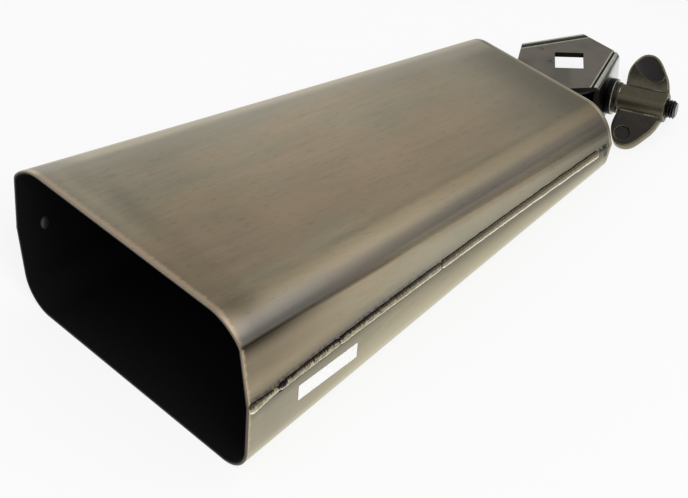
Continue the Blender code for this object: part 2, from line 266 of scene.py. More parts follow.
CAMERA_AT = (0.52770, -0.40764, 0.57271)
CAMERA_TURN = (49.2031, 4.3276, 48.7501)    # degrees
CAMERA_LENS = 113.007
CAMERA_SENSOR = 36.0
camera_data = bpy.data.cameras.new("camera")
camera_data.lens = CAMERA_LENS
camera_data.sensor_width = CAMERA_SENSOR
camera = shown("camera", camera_data)
camera.location = CAMERA_AT
camera.rotation_euler = [radians(a) for a in CAMERA_TURN]
scene.camera = camera


# The bell's two halves are steel sheet, each folded to half of the tapering section and brushed
# along its length. The lacquer is antique bronze, coppery at the mouth, greyer at the closed end and
# dark beside the welded seams, where painted shade is added too. Painted highlights, sheen and shade
# lie on its upper corners, and a painted reflection of the white table on its lower corners. The
# inside is painted matt black, over most of the cut edge too.
BELL_LENGTH = 0.216
MOUTH_SEAM_WIDTH = 0.1451
MOUTH_FLAT_WIDTH = 0.1379
MOUTH_HEIGHT = 0.0705
MOUTH_UPPER_R = 0.0225      # upper corners, next to the upper face
MOUTH_BEND_R = 0.0060       # upper corners, tighter next to the side walls
MOUTH_LOWER_R = 0.0150
END_SEAM_WIDTH = 0.0896
END_FLAT_WIDTH = 0.0818
END_HEIGHT = 0.0316
END_UPPER_R = 0.0140
END_BEND_R = 0.0140
END_LOWER_R = 0.0105
UPPER_TURN = 48             # degrees that an upper corner turns before it tightens
SEAM_BOW = 0.0041           # pull of the seams' upward bow, and where they end
SEAM_END_LEVEL = 0.0009
SHEET = 0.0015
SHELL_RUN = 0.2139
RIM_R = 0.0004
CORNER_STEPS = 14           # in each of a corner's two turns
STATIONS = 24
RIM_STEPS = 4

taper = atan2((MOUTH_HEIGHT - END_HEIGHT) / 2, BELL_LENGTH)
lift = (MOUTH_HEIGHT + END_HEIGHT) / 4 * cos(taper)
lay = Matrix.Translation((0, 0, lift)) @ Matrix.Rotation(-taper, 4, 'X')


def between(a, b, f):
    return a + (b - a) * f


def section_sizes(f):
    """Half widths at the seams and at the flat faces, and half the height."""
    return (between(MOUTH_SEAM_WIDTH, END_SEAM_WIDTH, f) / 2,
            between(MOUTH_FLAT_WIDTH, END_FLAT_WIDTH, f) / 2,
            between(MOUTH_HEIGHT, END_HEIGHT, f) / 2)


def seam_level(f):
    """Height of the seams above the middle plane."""
    return 2 * (1 - f) * f * SEAM_BOW + f * f * SEAM_END_LEVEL


def corner_radii(f, up):
    """Radius next to the flat face and next to the side wall."""
    if up > 0:
        return between(MOUTH_UPPER_R, END_UPPER_R, f), between(MOUTH_BEND_R, END_BEND_R, f)
    return (between(MOUTH_LOWER_R, END_LOWER_R, f),) * 2


def wall_lean(f, up):
    seam, flat, high = section_sizes(f)
    return atan2(seam - flat, high - up * seam_level(f))


def half_section(f, inset, up):
    """A half of the outline at share f of the length, right seam to left, heights as if it were upper."""
    seam, flat, high = section_sizes(f)
    lean = wall_lean(f, up)
    full_turn = pi / 2 - lean
    first_turn = radians(UPPER_TURN)
    wide, tight = corner_radii(f, up)
    start = flat - ((wide - tight) * cos(full_turn - first_turn) + tight
                    - wide * cos(full_turn)) / sin(full_turn)
    bend_x = start + (wide - tight) * sin(first_turn)
    bend_z = high - wide + (wide - tight) * cos(first_turn)
    right = [(seam - inset / cos(lean), up * seam_level(f))]
    for i in range(CORNER_STEPS + 1):
        turn = between(full_turn, first_turn, i / CORNER_STEPS)
        right.append((bend_x + (tight - inset) * sin(turn), bend_z + (tight - inset) * cos(turn)))
    for i in range(1, CORNER_STEPS + 1):
        turn = between(first_turn, 0.0, i / CORNER_STEPS)
        right.append((start + (wide - inset) * sin(turn), high - wide + (wide - inset) * cos(turn)))
    return right + [(-x, z) for x, z in reversed(right)]


def sharp_shaded(mesh, degrees):
    mesh.shade_smooth()
    mesh.set_sharp_from_angle(angle=radians(degrees))


def piece(name, mesh, body, slot, nodes, *finishes):
    """Puts a finished mesh in the scene in place of its CAD nodes."""
    obj = shown(name, mesh)
    for finish in finishes:
        mesh.materials.append(finish.material)
    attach(obj, body)
    if nodes:
        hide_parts(*nodes)


def shell_mesh(name, up):
    """One half, with the UV map brush (across from the middle, from the mouth) in metres, and the
    attributes to_seam (metres), through (0 on the sheet's outside, 1 on its inside), lower (1 on the
    lower half) and corner (-1 at the seam, 0 and 2 where a corner starts and ends)."""
    stations = [(RIM_R * (1 - cos(a)), RIM_R * (1 - sin(a)))
                for a in (pi / 2 * i / RIM_STEPS for i in range(RIM_STEPS))]
    stations += [(between(RIM_R, SHELL_RUN, i / (STATIONS - 1)), 0.0) for i in range(STATIONS)]
    bm = bmesh.new()
    brush = bm.loops.layers.uv.new("brush")
    to_seam, through, corner, lower = [bm.verts.layers.float.new(kept)
                                       for kept in ("to_seam", "through", "corner", "lower")]
    rings = []
    where = {}
    for along, rounding in stations:
        f = along / BELL_LENGTH
        outer = half_section(f, rounding, up)
        inner = half_section(f, SHEET - rounding, up)
        count = len(outer)
        run = [0.0]
        for a, b in zip(outer, outer[1:]):
            run.append(run[-1] + (Vector(b) - Vector(a)).length)
        ring = [bm.verts.new((x, along - BELL_LENGTH / 2, up * z)) for x, z in outer + inner[::-1]]
        for j, vert in enumerate(ring):
            step = min(j, 2 * count - 1 - j)
            to_end = min(step, count - 1 - step)
            vert[to_seam] = min(run[step], run[-1] - run[step])
            vert[through] = 0.0 if j < count else 1.0
            vert[corner] = (to_end - 1) / CORNER_STEPS if to_end > 0 else -1.0
            vert[lower] = (1 - up) / 2
            where[vert] = (run[-1] / 2 - run[step], along)
        rings.append(ring)
    for i, (a, b) in enumerate(zip(rings, rings[1:])):
        for j in range(2 * count):
            k = (j + 1) % (2 * count)
            face = bm.faces.new((a[j], a[k], b[k], b[j]))
            if count <= j < 2 * count - 1:
                face.material_index = 1
            elif i < RIM_STEPS:
                face.material_index = 2
    for ring in (rings[0], rings[-1]):
        for j in range(count - 1):
            face = bm.faces.new((ring[j], ring[j + 1], ring[-2 - j], ring[-1 - j]))
            face.material_index = 2
    bmesh.ops.recalc_face_normals(bm, faces=bm.faces)
    for face in bm.faces:
        for loop in face.loops:
            loop[brush].uv = where[loop.vert]
    mesh = mesh_of(name, bm)
    sharp_shaded(mesh, 40)
    mesh.transform(lay)
    return mesh


OLIVE = (0.345, 0.318, 0.222)
OLIVE_LEFT = (0.338, 0.302, 0.228)
UMBER = (0.385, 0.298, 0.202)
PATINA = (0.205, 0.184, 0.140)
COPPER = (0.58, 0.46, 0.32)
HEAT_TINT = (0.190, 0.180, 0.150)   # beside the seams near the mouth
HEAT_BLUE = (0.215, 0.215, 0.238)   # and further on
BURNT = (0.020, 0.018, 0.016)
# The next four colours are painted sheen and highlights on the upper corners, walls and the upper face's
# left edge
SILVER_SHEEN = (0.40, 0.370, 0.328)
GOLDEN = (0.43, 0.335, 0.205)
WALL_SHEEN = (0.40, 0.40, 0.31)
LEFT_SHEEN = (0.405, 0.358, 0.290)
STEELY = (0.37, 0.335, 0.265)
TABLE_REFLECTION = (0.64, 0.60, 0.44)         # lower corners: a painted reflection of the white table the bell rests on
EDGE_SHEEN = (0.85, 0.84, 0.78)     # what the lacquer leaves of a grazing reflection
BRONZE_ROUGHNESS = 0.24
WARM_MIDDLE = 0.022                 # the warmest line of the upper face, right of its middle
FLAT_NARROWS = 0.10                 # how much half the flat face's width loses in a metre
# Bands along the bell are in metres from the mouth, bands over a corner in the attribute's own
# measure. Each band gives where it starts, is full, is still full and ends.
PAST_MOUTH = (-2.0, -1.0)           # starts a band that is full right from the mouth
PAST_END = (1.0, 2.0)               # ends a band that is full right to the closed end
AGED = (0.140, 0.212)               # from where the lacquer is greyer to where it is all patina
NEAR_MOUTH = (0.020, 0.085)         # from where this part is full to where it is over
FAR_HALF = (0.07, 0.13)             # from where this part starts to where it is full
DULL_BANDS = (      # share darker, band along the bell
    (0.14, (0.003, 0.012, 0.030, 0.075)),
    (0.084, (0.115, 0.140, 0.160, 0.185)))
MOUTH_DULL = (0.005, 0.010, 0.014, 0.024)
BEND_SHADES = (     # share darker as painted shade (a painted highlight where negative), band over the corner, band along the bell
    (0.30, (-0.75, -0.35, 0.45, 0.85), (*PAST_MOUTH, 0.004, 0.062)),
    (0.50, (-0.22, 0.08, 0.45, 0.85), (*PAST_MOUTH, 0.008, 0.070)),
    (0.40, (0.15, 0.35, 0.45, 0.60), (0.025, 0.065, 0.072, 0.095)),
    (-0.50, (0.40, 0.56, 0.76, 1.00), (0.055, 0.095, *PAST_END)))
AGED_SHADES = (     # share darker where the lacquer is aged, as painted shade (a painted highlight where negative), band over the corner
    (-0.08, (0.40, 0.56, 0.76, 1.00)),
    (-0.22, (0.84, 0.96, 1.05, 1.25)),
    (0.15, (0.00, 0.12, 0.28, 0.42)))
MOUTH_SHADE = (0.82, 0.94, 1.02, 1.14)      # over the corner, near the mouth: painted shade
HEAT_BLUE_BAND = (0.02, 0.07, 0.15, 0.19)   # along the bell
bronze = Finish("brushed_bronze", Metallic=1.0, Specular_Tint=EDGE_SHEEN)
brushed = bronze.node('ShaderNodeUVMap', {'uv_map': "brush"})
across, from_mouth, _ = brushed.parts()
to_seam, corner, lower = [bronze.kept(name) for name in ("to_seam", "corner", "lower")]
upper = 1.0 - lower
hair = brushed.grain((3600, 110, 1))
stroke = brushed.grain((520, 24, 1), shift=(3, 1, 0))
streak = brushed.grain((190, 28, 1), shift=(2, 6, 0))
patch = brushed.grain((55, 20, 1), shift=(5, 2, 0))
cloud = brushed.grain((15, 9, 1), 2.0, (0.7, 0.2, 0))
scratch = brushed.grain((2600, 150, 1), 2.0, (8, 3, 0)).rise(0.62, 0.70)
left_side = across.fall(-0.030, 0.005)
near_mouth = (from_mouth + cloud.swing(0.03)).fall(*NEAR_MOUTH)
by_mouth = from_mouth.fall(0.025, 0.075)
mid_bell = from_mouth.rise(0.045, 0.075)
far_half = from_mouth.rise(*FAR_HALF)
aged = (from_mouth + cloud.swing(0.05) + across * 0.12 + stroke.swing(0.02)).rise(*AGED)

# The upper face: olive at its sides, umber in its middle, patina to the closed end
warm = cloud * 0.9 - abs(across - WARM_MIDDLE) * 11.0 + stroke.swing(0.4) + patch.swing(1.1)
tone = left_side.blend(OLIVE, OLIVE_LEFT).towards(UMBER, warm.rise(-0.35, 0.40))
# Less patina on the bend's wide turn, so that its painted highlight stays
highlit_bend = corner.hump(0.9, 1.2, 1.75, 2.0) * upper
tone = tone.towards(PATINA, aged * (0.9 - highlit_bend * 0.35))
drawn = from_mouth + cloud.swing(0.02)
dulled = drawn.hump(*MOUTH_DULL) * (0.09 + left_side * 0.09)
for share, band in DULL_BANDS:
    dulled = dulled + (drawn + across * 0.3).hump(*band) * share
tone = tone.lit(1.0 + stroke.swing(0.18) + streak.swing(0.13) + patch.swing(0.28) + hair.swing(0.14)
                - scratch * 0.30 - dulled)
darker_right = across.larger(-0.06).smaller(0.03) * corner.rise(1.85, 2.0) * upper * 3.2
darker_end = from_mouth.rise(0.190, 0.212) * upper * (0.30 - left_side * 0.10)
tone = tone.lit(1.0 - darker_right - darker_end)

# The upper corners: painted sheen, highlights and shade stand in for how each turn of the bend takes the
# light
tone = tone.towards(UMBER, near_mouth * upper * corner.fall(0.0, 0.5) * 0.6)
silver_sheen = corner.hump(0.55, 0.9, 1.15, 1.6) * upper * (0.4 + near_mouth * 0.4)
tone = tone.towards(SILVER_SHEEN, silver_sheen * (1.0 - aged * 0.5))
on_wall = corner.fall(-0.15, 0.15) * upper * from_mouth.rise(0.06, 0.11)
tone = tone.towards(WALL_SHEEN, on_wall * (0.45 - aged * 0.28))
left_bend = corner.hump(-0.15, 0.15, 1.3, 2.0) * across.fall(-0.01, 0.01) * upper
tone = tone.towards(LEFT_SHEEN, left_bend * 0.9)
left_edge = (from_mouth * FLAT_NARROWS - across).rise(0.0420, 0.0515) * corner.rise(1.3, 2.0) * upper
tone = tone.towards(LEFT_SHEEN, left_edge * 0.6)
# A painted golden highlight on the wide turn of the bend, with painted shade and light lines across the
# bend
golden = 0.20 + mid_bell * 0.12 - from_mouth.fall(0.006, 0.028) * 0.38 - aged * 0.2
wide_bend = (corner + mid_bell * 0.12).hump(1.25, 1.55, 1.75, 2.0)
flat_edge = (from_mouth * FLAT_NARROWS + across).rise(0.0440, 0.0515) * corner.rise(1.8, 2.0)
bend_shade_and_highlight = corner.hump(*MOUTH_SHADE) * near_mouth * 0.25 - wide_bend * golden
bend_shade_and_highlight = bend_shade_and_highlight - flat_edge * from_mouth.hump(0.010, 0.020, 0.065, 0.090) * 0.14
for share, over, band in BEND_SHADES:
    bend_shade_and_highlight = bend_shade_and_highlight + corner.hump(*over) * from_mouth.hump(*band) * share
for share, over in AGED_SHADES:
    bend_shade_and_highlight = bend_shade_and_highlight + corner.hump(*over) * aged * share
tone = tone.lit(1.0 - bend_shade_and_highlight * upper)
tone = tone.towards(GOLDEN, wide_bend * from_mouth.rise(0.012, 0.035) * upper * 0.32)

# The lower half: steely by the mouth, painted shade with heat tint just under the seam further on, and a
# painted reflection of the white table on the lower corners
tone = tone.towards(STEELY, by_mouth * lower * 0.5)
under = corner.rise(-0.75, -0.2) * by_mouth * 0.08 - to_seam.fall(0.003, 0.011) * far_half * 0.22
tone = tone.lit(1.0 + under * lower)
table_reflection = (corner - by_mouth * 0.35).hump(-0.65, 0.45, 1.6, 2.1) * lower
tone = tone.towards(TABLE_REFLECTION, table_reflection * 0.88)

# Beside the seams: tinted by heat, sooted and darkened by painted shade by the beads, and burnt in pits
# and where the seam ends open
heat_and_shade = (to_seam + cloud.swing(0.004) + hair.swing(0.002)).fall(0.0015, 0.0080)
heat_and_shade = heat_and_shade * (1.0 - upper * far_half * 0.75)
tint = (from_mouth.hump(*HEAT_BLUE_BAND) * upper).blend(HEAT_TINT, HEAT_BLUE)
tone = tone.towards(tint, heat_and_shade * 0.45).lit(1.0 - heat_and_shade * 0.26)
fleck = bronze.place.grain(650, 2.0).rise(0.46, 0.62)
seam_soot_and_shade = (to_seam - upper * 0.0004).fall(0.0018, 0.0040)
tone = tone.lit(1.0 - seam_soot_and_shade * (0.28 + fleck * 0.38) * (1.0 - far_half * (0.4 + upper * 0.4)))
PITS = ((0.0172, 0.0021, 0.0013),   # from the mouth, below the seam, radius
        (0.0755, 0.0021, 0.0007))
PIT_STRETCH = 1.5
NOTCH_AT = 0.2110                   # an open end of the seam by the end plate
NOTCH_LONG = 0.0062
NOTCH_SHORTER = 0.0035              # above the seam, by so much
NOTCH_SLANT = 0.400
NOTCH_HALF = (0.0008, 0.0014)       # half its width, and where its edge ends
notch_line = from_mouth - NOTCH_AT - to_seam * (lower - upper) * NOTCH_SLANT
notch = (to_seam + upper * NOTCH_SHORTER).fall(NOTCH_LONG * 0.8, NOTCH_LONG)
notch = notch * abs(notch_line).fall(*NOTCH_HALF)
spatter = from_mouth.rise(0.2062, 0.2075) * (to_seam + lower * 0.001).fall(0.0016, 0.0026)
burnt = notch.larger(spatter * bronze.place.grain(800).rise(0.44, 0.58) * 0.9)
for pit_at, pit_below, pit_r in PITS:
    pit_x = (from_mouth - pit_at) / (pit_r * PIT_STRETCH)
    pit_y = (to_seam - pit_below) / pit_r
    pit = (pit_x * pit_x + pit_y * pit_y + fleck.swing(0.6)).fall(0.4, 1.1) * lower
    burnt = burnt.larger(pit)
tone = tone.towards(BURNT, burnt * 0.9)
wear_and_highlight = (from_mouth + stroke.swing(0.003) - corner.rise(0.5, 2.0) * 0.0014).fall(0.0002, 0.0020)
bronze.feed(Base_Color=tone.towards(COPPER, wear_and_highlight * 0.80),
            Roughness=BRONZE_ROUGHNESS + hair.swing(0.14) + cloud.swing(0.08))
bronze.bump(hair, 0.000010, 0.5)

INSIDE_BLACK = (0.004, 0.004, 0.004)
matt_black = Finish("inside_black", Base_Color=INSIDE_BLACK, Specular_IOR_Level=0.10)
orange_peel = matt_black.place.grain(900, 2.0)
matt_black.feed(Roughness=0.62 + orange_peel.swing(0.3))
matt_black.bump(orange_peel, 0.00004, 0.5)

CUT_BROWN = (0.075, 0.060, 0.048)
CUT_BRIGHT = (0.33, 0.255, 0.18)
CUT_PAINTED = (0.010, 0.011, 0.012)
BARE_FROM = lift - 0.008            # the paint covers the cut edge below, and leaves it bare above
BARE_FULL = lift + 0.012
RIM_LIGHT_FROM = lift + 0.006
RIM_LIGHT_FULL = lift + 0.026
cut_edge = Finish("cut_edge", Metallic=0.85)
file_mark = cut_edge.place.grain(900)
aside, _, level = cut_edge.place.parts()
depth = cut_edge.kept("through")
bare = (aside * 0.5 + level + file_mark.swing(0.006)).rise(BARE_FROM, BARE_FULL)
# The bare edge lightens upwards and towards the outside: wear, with a painted highlight along the upper
# rim
rub_and_highlight = level.rise(RIM_LIGHT_FROM, RIM_LIGHT_FULL) * 0.8 + 0.2
rub_and_highlight = rub_and_highlight * (depth + file_mark.swing(0.2)).fall(0.08, 0.22)
tone = rub_and_highlight.blend(CUT_BROWN, CUT_BRIGHT)
tone = tone.towards(CUT_PAINTED, (depth + file_mark.swing(0.3)).rise(0.45, 0.70))
cut_edge.feed(Base_Color=bare.blend(CUT_PAINTED, tone.lit(0.7 + file_mark * 0.6)),
              Roughness=0.38 + file_mark.swing(0.2))

for name, up, node in (("bell_upper_half", 1, "upper_shell"), ("bell_lower_half", -1, "lower_shell")):
    piece(name, shell_mesh(name, up), "bell", "shell", [node], bronze, matt_black, cut_edge)


# The closed end is a flat steel plate of the end section's outline, set on the halves' ends and
# ground flush with them, so that its edge is the brightest line at that end. It is lacquered
# outside, and inside only a thin mist of the black paint reaches it.
PLATE = 0.0018
PLATE_LAP = 0.0003
PLATE_EDGE = 0.0005
INSIDE_NORMAL = -0.9        # part along the bell of its inside's normal, at most
END_DULL = (0.30, 0.27, 0.20)
END_LIGHT = (0.40, 0.34, 0.24)
MIST_BLACK = (0.030, 0.030, 0.029)
MIST_THIN = (0.130, 0.117, 0.096)


def settled(obj, name, tools=()):
    """The object's evaluated shape as a plain mesh, with its place in the mesh. The object and the
    tools that worked on it are removed."""
    bpy.context.view_layer.update()
    depsgraph = bpy.context.evaluated_depsgraph_get()
    mesh = bpy.data.meshes.new_from_object(obj.evaluated_get(depsgraph))
    mesh.name = name
    mesh.transform(obj.matrix_world)
    for used in (obj, *tools):
        bpy.data.objects.remove(used, do_unlink=True)
    mesh.materials.clear()
    return mesh


def working(name, bm):
    """A mesh object that is only worked on, and not part of the scene when it is done."""
    mesh = mesh_of(name, bm)
    mesh.shade_smooth()
    return shown(name, mesh)


def modifier(obj, kind, **settings):
    made = obj.modifiers.new(kind.lower(), kind)
    for key, value in settings.items():
        setattr(made, key, value)


def mottled(name, per_metre, colours, roughness, relief=None, detail=3.0, **same):
    """A finish that one noise mottles: two colours, the roughness where the noise is low and high,
    and the distance and strength of its relief."""
    finish = Finish(name, **same)
    noise = finish.place.grain(per_metre, detail)
    smooth, rough = roughness
    finish.feed(Base_Color=noise.blend(*colours), Roughness=smooth + noise * (rough - smooth))
    if relief:
        finish.bump(noise, *relief)
    return finish


bm = bmesh.new()
ring = half_section(1.0, 0.0, 1) + [(x, -z) for x, z in reversed(half_section(1.0, 0.0, -1)[1:-1])]
face = bm.faces.new([bm.verts.new((x, BELL_LENGTH / 2, z)) for x, z in reversed(ring)])
bm.normal_update()
if face.normal.y < 0:
    face.normal_flip()
plate = working("plate_work", bm)
modifier(plate, 'SOLIDIFY', thickness=PLATE + PLATE_LAP, offset=-1.0, use_even_offset=True)
modifier(plate, 'BEVEL', width=PLATE_EDGE, segments=3, limit_method='ANGLE', angle_limit=radians(50))
plate_mesh = settled(plate, "closed_end")
sharp_shaded(plate_mesh, 35)
plate_mesh.transform(lay)
for face in plate_mesh.polygons:
    face.material_index = 1 if face.normal.y < INSIDE_NORMAL else 0
end_bronze = Finish("end_bronze", Metallic=1.0)
hair = end_bronze.place.grain((60, 900, 2600))
cloud = end_bronze.place.grain(40)
tone = cloud.rise(0.35, 0.65).blend(END_DULL, END_LIGHT)
end_bronze.feed(Base_Color=tone.lit(1.0 + hair.swing(0.3)), Roughness=0.36 + hair.swing(0.15))
end_bronze.bump(hair, 0.00001, 0.5)
thin_black = mottled("end_inside_black", 90, (MIST_BLACK, MIST_THIN), (0.5, 0.7), Specular_IOR_Level=0.2)
piece("closed_end", plate_mesh, "bell", "shell", ["end_plate"], end_bronze, thin_black)


# The side seams are closed by hand-laid weld beads in a few passes, lacquered over with the rest.
# Each is a ridge of overlapping ripples with round ends; soot with painted shade lies along its
# upper toe, and a painted highlight along its lower side.
PASSES = ((-0.1079, -0.0915, 0.0050, 0.0018),   # from and to along the bell, breadth there
          (-0.0922, -0.0595, 0.0032, 0.0034),
          (-0.0602, -0.0015, 0.0034, 0.0036),
          (-0.0022, 0.0985, 0.0037, 0.0036))
MOUTH_SAG = 0.0006          # the beads start so far under the seam
SAG_SHARE = 1 / 8           # of the bell's length, over which they come up to it
BEAD_STEP = 0.0015
BEAD_CROWN = 0.46           # height as a share of half the breadth
BEAD_SPACING = 0.0002       # of the rings along a bead
BEAD_SIDES = 22
RIPPLE_PITCH = 0.0011
RIPPLE_RISE = 0.00012
RIPPLE_BOW = 0.6            # how far a ripple's sides lag, in ripples
RIPPLE_MIDDLE = 0.6         # the share of a ripple's height that the plain ridge stands at
SWELLS_PER_METRE = 150.0
BEAD_SWELL = 0.28           # how much the breadth wanders
PITTING_PER_METRE = 1400.0
PITTING = 2.4               # how deep it is, in ripple heights
SEAM_SEED = 3.0


class Shaping(Nodes):
    """A Geometry Nodes tree that works a shape by named sizes and gives it a finish."""

    def __init__(self, name, *sizes):
        super().__init__(bpy.data.node_groups.new(name, 'GeometryNodeTree'))
        sockets = self.tree.interface
        sockets.new_socket("Shape", in_out='INPUT', socket_type='NodeSocketGeometry')
        for size in sizes:
            sockets.new_socket(size, in_out='INPUT', socket_type='NodeSocketFloat')
        sockets.new_socket("Finish", in_out='INPUT', socket_type='NodeSocketMaterial')
        sockets.new_socket("Worked", in_out='OUTPUT', socket_type='NodeSocketGeometry')
        self.shape = self.node('NodeGroupInput')
        self.sizes = [self.shape.other(size) for size in sizes]

    def kept(self, name):
        """A number that the shape keeps on its points."""
        return self.node('GeometryNodeInputNamedAttribute', {}, {0: name})

    def keep(self, shape, name, value):
        return self.node('GeometryNodeStoreNamedAttribute', {}, {0: shape, 'Name': name, 'Value': value})

    def end(self, shape):
        """Closes the tree on what it made."""
        finish = self.shape.other("Finish")
        shape = self.node('GeometryNodeRealizeInstances', {}, {0: shape})
        shape = self.node('GeometryNodeSetMaterial', {}, {0: shape, 'Material': finish})
        self.node('NodeGroupOutput', {}, {0: shape})

    def run(self, obj, name, finish, **sizes):
        """The object's shape when it is worked, as a plain mesh."""
        made = obj.modifiers.new("shaping", 'NODES')
        made.node_group = self.tree
        values = {"Finish": finish.material, **sizes}
        for item in self.tree.interface.items_tree:
            if item.in_out == 'INPUT' and item.name in values:
                made[item.identifier] = values[item.name]
        return settled(obj, name)


def bead_shaping():
    """A weld bead along the edges of a path whose points hold its breadth."""
    tree = Shaping("weld_bead", "Crown", "Pitch", "Rise", "Seed")
    crown, pitch, rise, seed = tree.sizes
    curve = tree.node('GeometryNodeMeshToCurve', {}, {0: tree.shape})
    curve = tree.node('GeometryNodeResampleCurve', {'mode': 'LENGTH'},
                      {'Curve': curve, 'Length': BEAD_SPACING})
    curve = tree.node('GeometryNodeSetCurveNormal', {'mode': 'Z_UP'}, {0: curve})
    metres = tree.node('GeometryNodeSplineParameter', out=1)
    curve = tree.keep(curve, "metres", metres)
    breadth = tree.kept("breadth")
    to_end = metres.smaller(tree.node('GeometryNodeSplineLength') - metres)
    short = 1.0 - (to_end / breadth * 2.0).smaller(1.0)
    closing = (1.0 - short * short) ** 0.5
    swell = tree.node('ShaderNodeTexNoise', {'noise_dimensions': '1D'},
                      {'W': metres * SWELLS_PER_METRE + seed, 'Scale': 1.0, 'Detail': 2.0})
    ring = tree.node('GeometryNodeCurvePrimitiveCircle', {}, {'Resolution': BEAD_SIDES, 'Radius': 1.0})
    flattened = tree.node('ShaderNodeCombineXYZ', {}, {0: crown, 1: 1.0, 2: 1.0})
    ring = tree.node('GeometryNodeTransform', {}, {0: ring, 'Scale': flattened})
    bead = tree.node('GeometryNodeCurveToMesh', {},
                     {'Curve': curve, 'Profile Curve': ring, 'Fill Caps': True,
                      'Scale': breadth * 0.5 * closing * (1.0 + swell.swing(BEAD_SWELL))})
    out = tree.node('GeometryNodeInputNormal')
    bead = tree.keep(bead, "facing", out.parts()[2])
    facing = tree.kept("facing")
    phase = (tree.kept("metres") / pitch + facing * facing * RIPPLE_BOW) * pi
    wave = abs(phase.math('SINE', phase))
    fine = tree.node('ShaderNodeTexNoise', {}, {'Scale': PITTING_PER_METRE, 'Detail': 2.0})
    push = out.lit((wave - RIPPLE_MIDDLE + fine.swing(PITTING)) * rise)
    bead = tree.node('GeometryNodeSetPosition', {}, {'Geometry': bead, 'Offset': push})
    tree.end(tree.node('GeometryNodeSetShadeSmooth', {}, {0: bead}))
    return tree


weld_bead = bead_shaping()


def bead_mesh(name, paths, crown, seed):
    """Beads along paths of (point, breadth) pairs."""
    bm = bmesh.new()
    breadth = bm.verts.layers.float.new("breadth")
    for path in paths:
        verts = [bm.verts.new(point) for point, _ in path]
        for vert, (_, wide) in zip(verts, path):
            vert[breadth] = wide
        for a, b in zip(verts, verts[1:]):
            bm.edges.new((a, b))
    mesh = weld_bead.run(working(name + "_path", bm), name, weld, Crown=crown, Seed=seed,
                         Pitch=RIPPLE_PITCH, Rise=RIPPLE_RISE)
    mesh.transform(lay)
    return mesh


SOOT_AND_SHADE = (0.085, 0.062, 0.060)
SOOT_AND_SHADE_CORE = (0.022, 0.017, 0.019)
SOOT_AND_SHADE_THIN = (0.220, 0.188, 0.138)
BEAD_DULL = (0.300, 0.270, 0.170)
BEAD_LIGHT = (0.520, 0.480, 0.310)
BEAD_UNDERSIDE_HIGHLIGHT = (0.95, 0.90, 0.78)
BARE_GAP = (-0.0950, -0.0944, -0.0932, -0.0926)     # along the bell, free of soot
BURNT_START = (-0.0928, -0.0920, -0.0895, -0.0875)  # along the bell, burnt black
JOINT_SOOT = (-0.0010, -0.0006, -0.0002, 0.0002)    # from where a pass ends
SECOND_PASS = PASSES[1][0]
weld = Finish("weld_bronze", Metallic=1.0, Specular_Tint=EDGE_SHEEN)
speck = weld.place.grain(1300)
smear = weld.place.grain(420, 2.0)
tick = weld.place.grain((250, 1900, 250), 2.0)
facing = weld.kept("facing")
_, along_bell, _ = weld.place.parts()
far_half = along_bell.rise(-0.07, 0.05)
first_pass = along_bell.fall(SECOND_PASS - 0.0005, SECOND_PASS + 0.0005)
tone = smear.rise(0.38, 0.62).blend(BEAD_DULL, BEAD_LIGHT)
tone = tone.lit(0.6 + speck * 0.8 - speck.rise(0.56, 0.66) * 0.45)
# The upward-facing toe darkens: soot with painted shade
sooty_and_shaded = facing + smear.swing(0.7) + speck.swing(0.5) + tick.swing(1.6 - far_half * 0.8)
sooty_and_shaded = sooty_and_shaded - along_bell.hump(*BARE_GAP) + along_bell.hump(*BURNT_START) * 0.6
for _, joint, _, _ in PASSES[1:-1]:
    sooty_and_shaded = sooty_and_shaded + along_bell.hump(*(joint + step for step in JOINT_SOOT))
toe_soot_and_shade = far_half.blend((first_pass * 0.6).blend(SOOT_AND_SHADE, SOOT_AND_SHADE_THIN), SOOT_AND_SHADE_THIN)
tone = tone.towards(toe_soot_and_shade, sooty_and_shaded.rise(0.18 - far_half * 0.55, 0.44 + far_half * 0.05))
tone = tone.towards(SOOT_AND_SHADE_CORE, sooty_and_shaded.rise(0.62, 0.95) * (1.0 - far_half * 0.7))
# The downward-facing side lightens: a painted highlight
rub_and_highlight = facing + speck.swing(0.25) - far_half * 0.14 - first_pass * 0.10
tone = tone.towards(BEAD_UNDERSIDE_HIGHLIGHT, rub_and_highlight.fall(-0.34, -0.18))
weld.feed(Base_Color=tone, Roughness=0.26 + speck * 0.22)
weld.bump(speck, 0.00005, 0.6)


def seam_point(y, side):
    f = (y + BELL_LENGTH / 2) / BELL_LENGTH
    sag = MOUTH_SAG * max(0.0, 1 - f / SAG_SHARE)
    return Vector((side * section_sizes(f)[0], y, seam_level(f) - sag))


for name, side, node in (("right_seam_bead", 1, "right_seam_weld"),
                         ("left_seam_bead", -1, "left_seam_weld")):
    paths = []
    for start, stop, wide, narrow in PASSES:
        steps = int((stop - start) / BEAD_STEP)
        shares = [i / steps for i in range(steps + 1)]
        paths.append([(seam_point(between(start, stop, share), side), between(wide, narrow, share))
                      for share in shares])
    piece(name, bead_mesh(name, paths, BEAD_CROWN, SEAM_SEED + side), "bell", "weld", [node], weld)


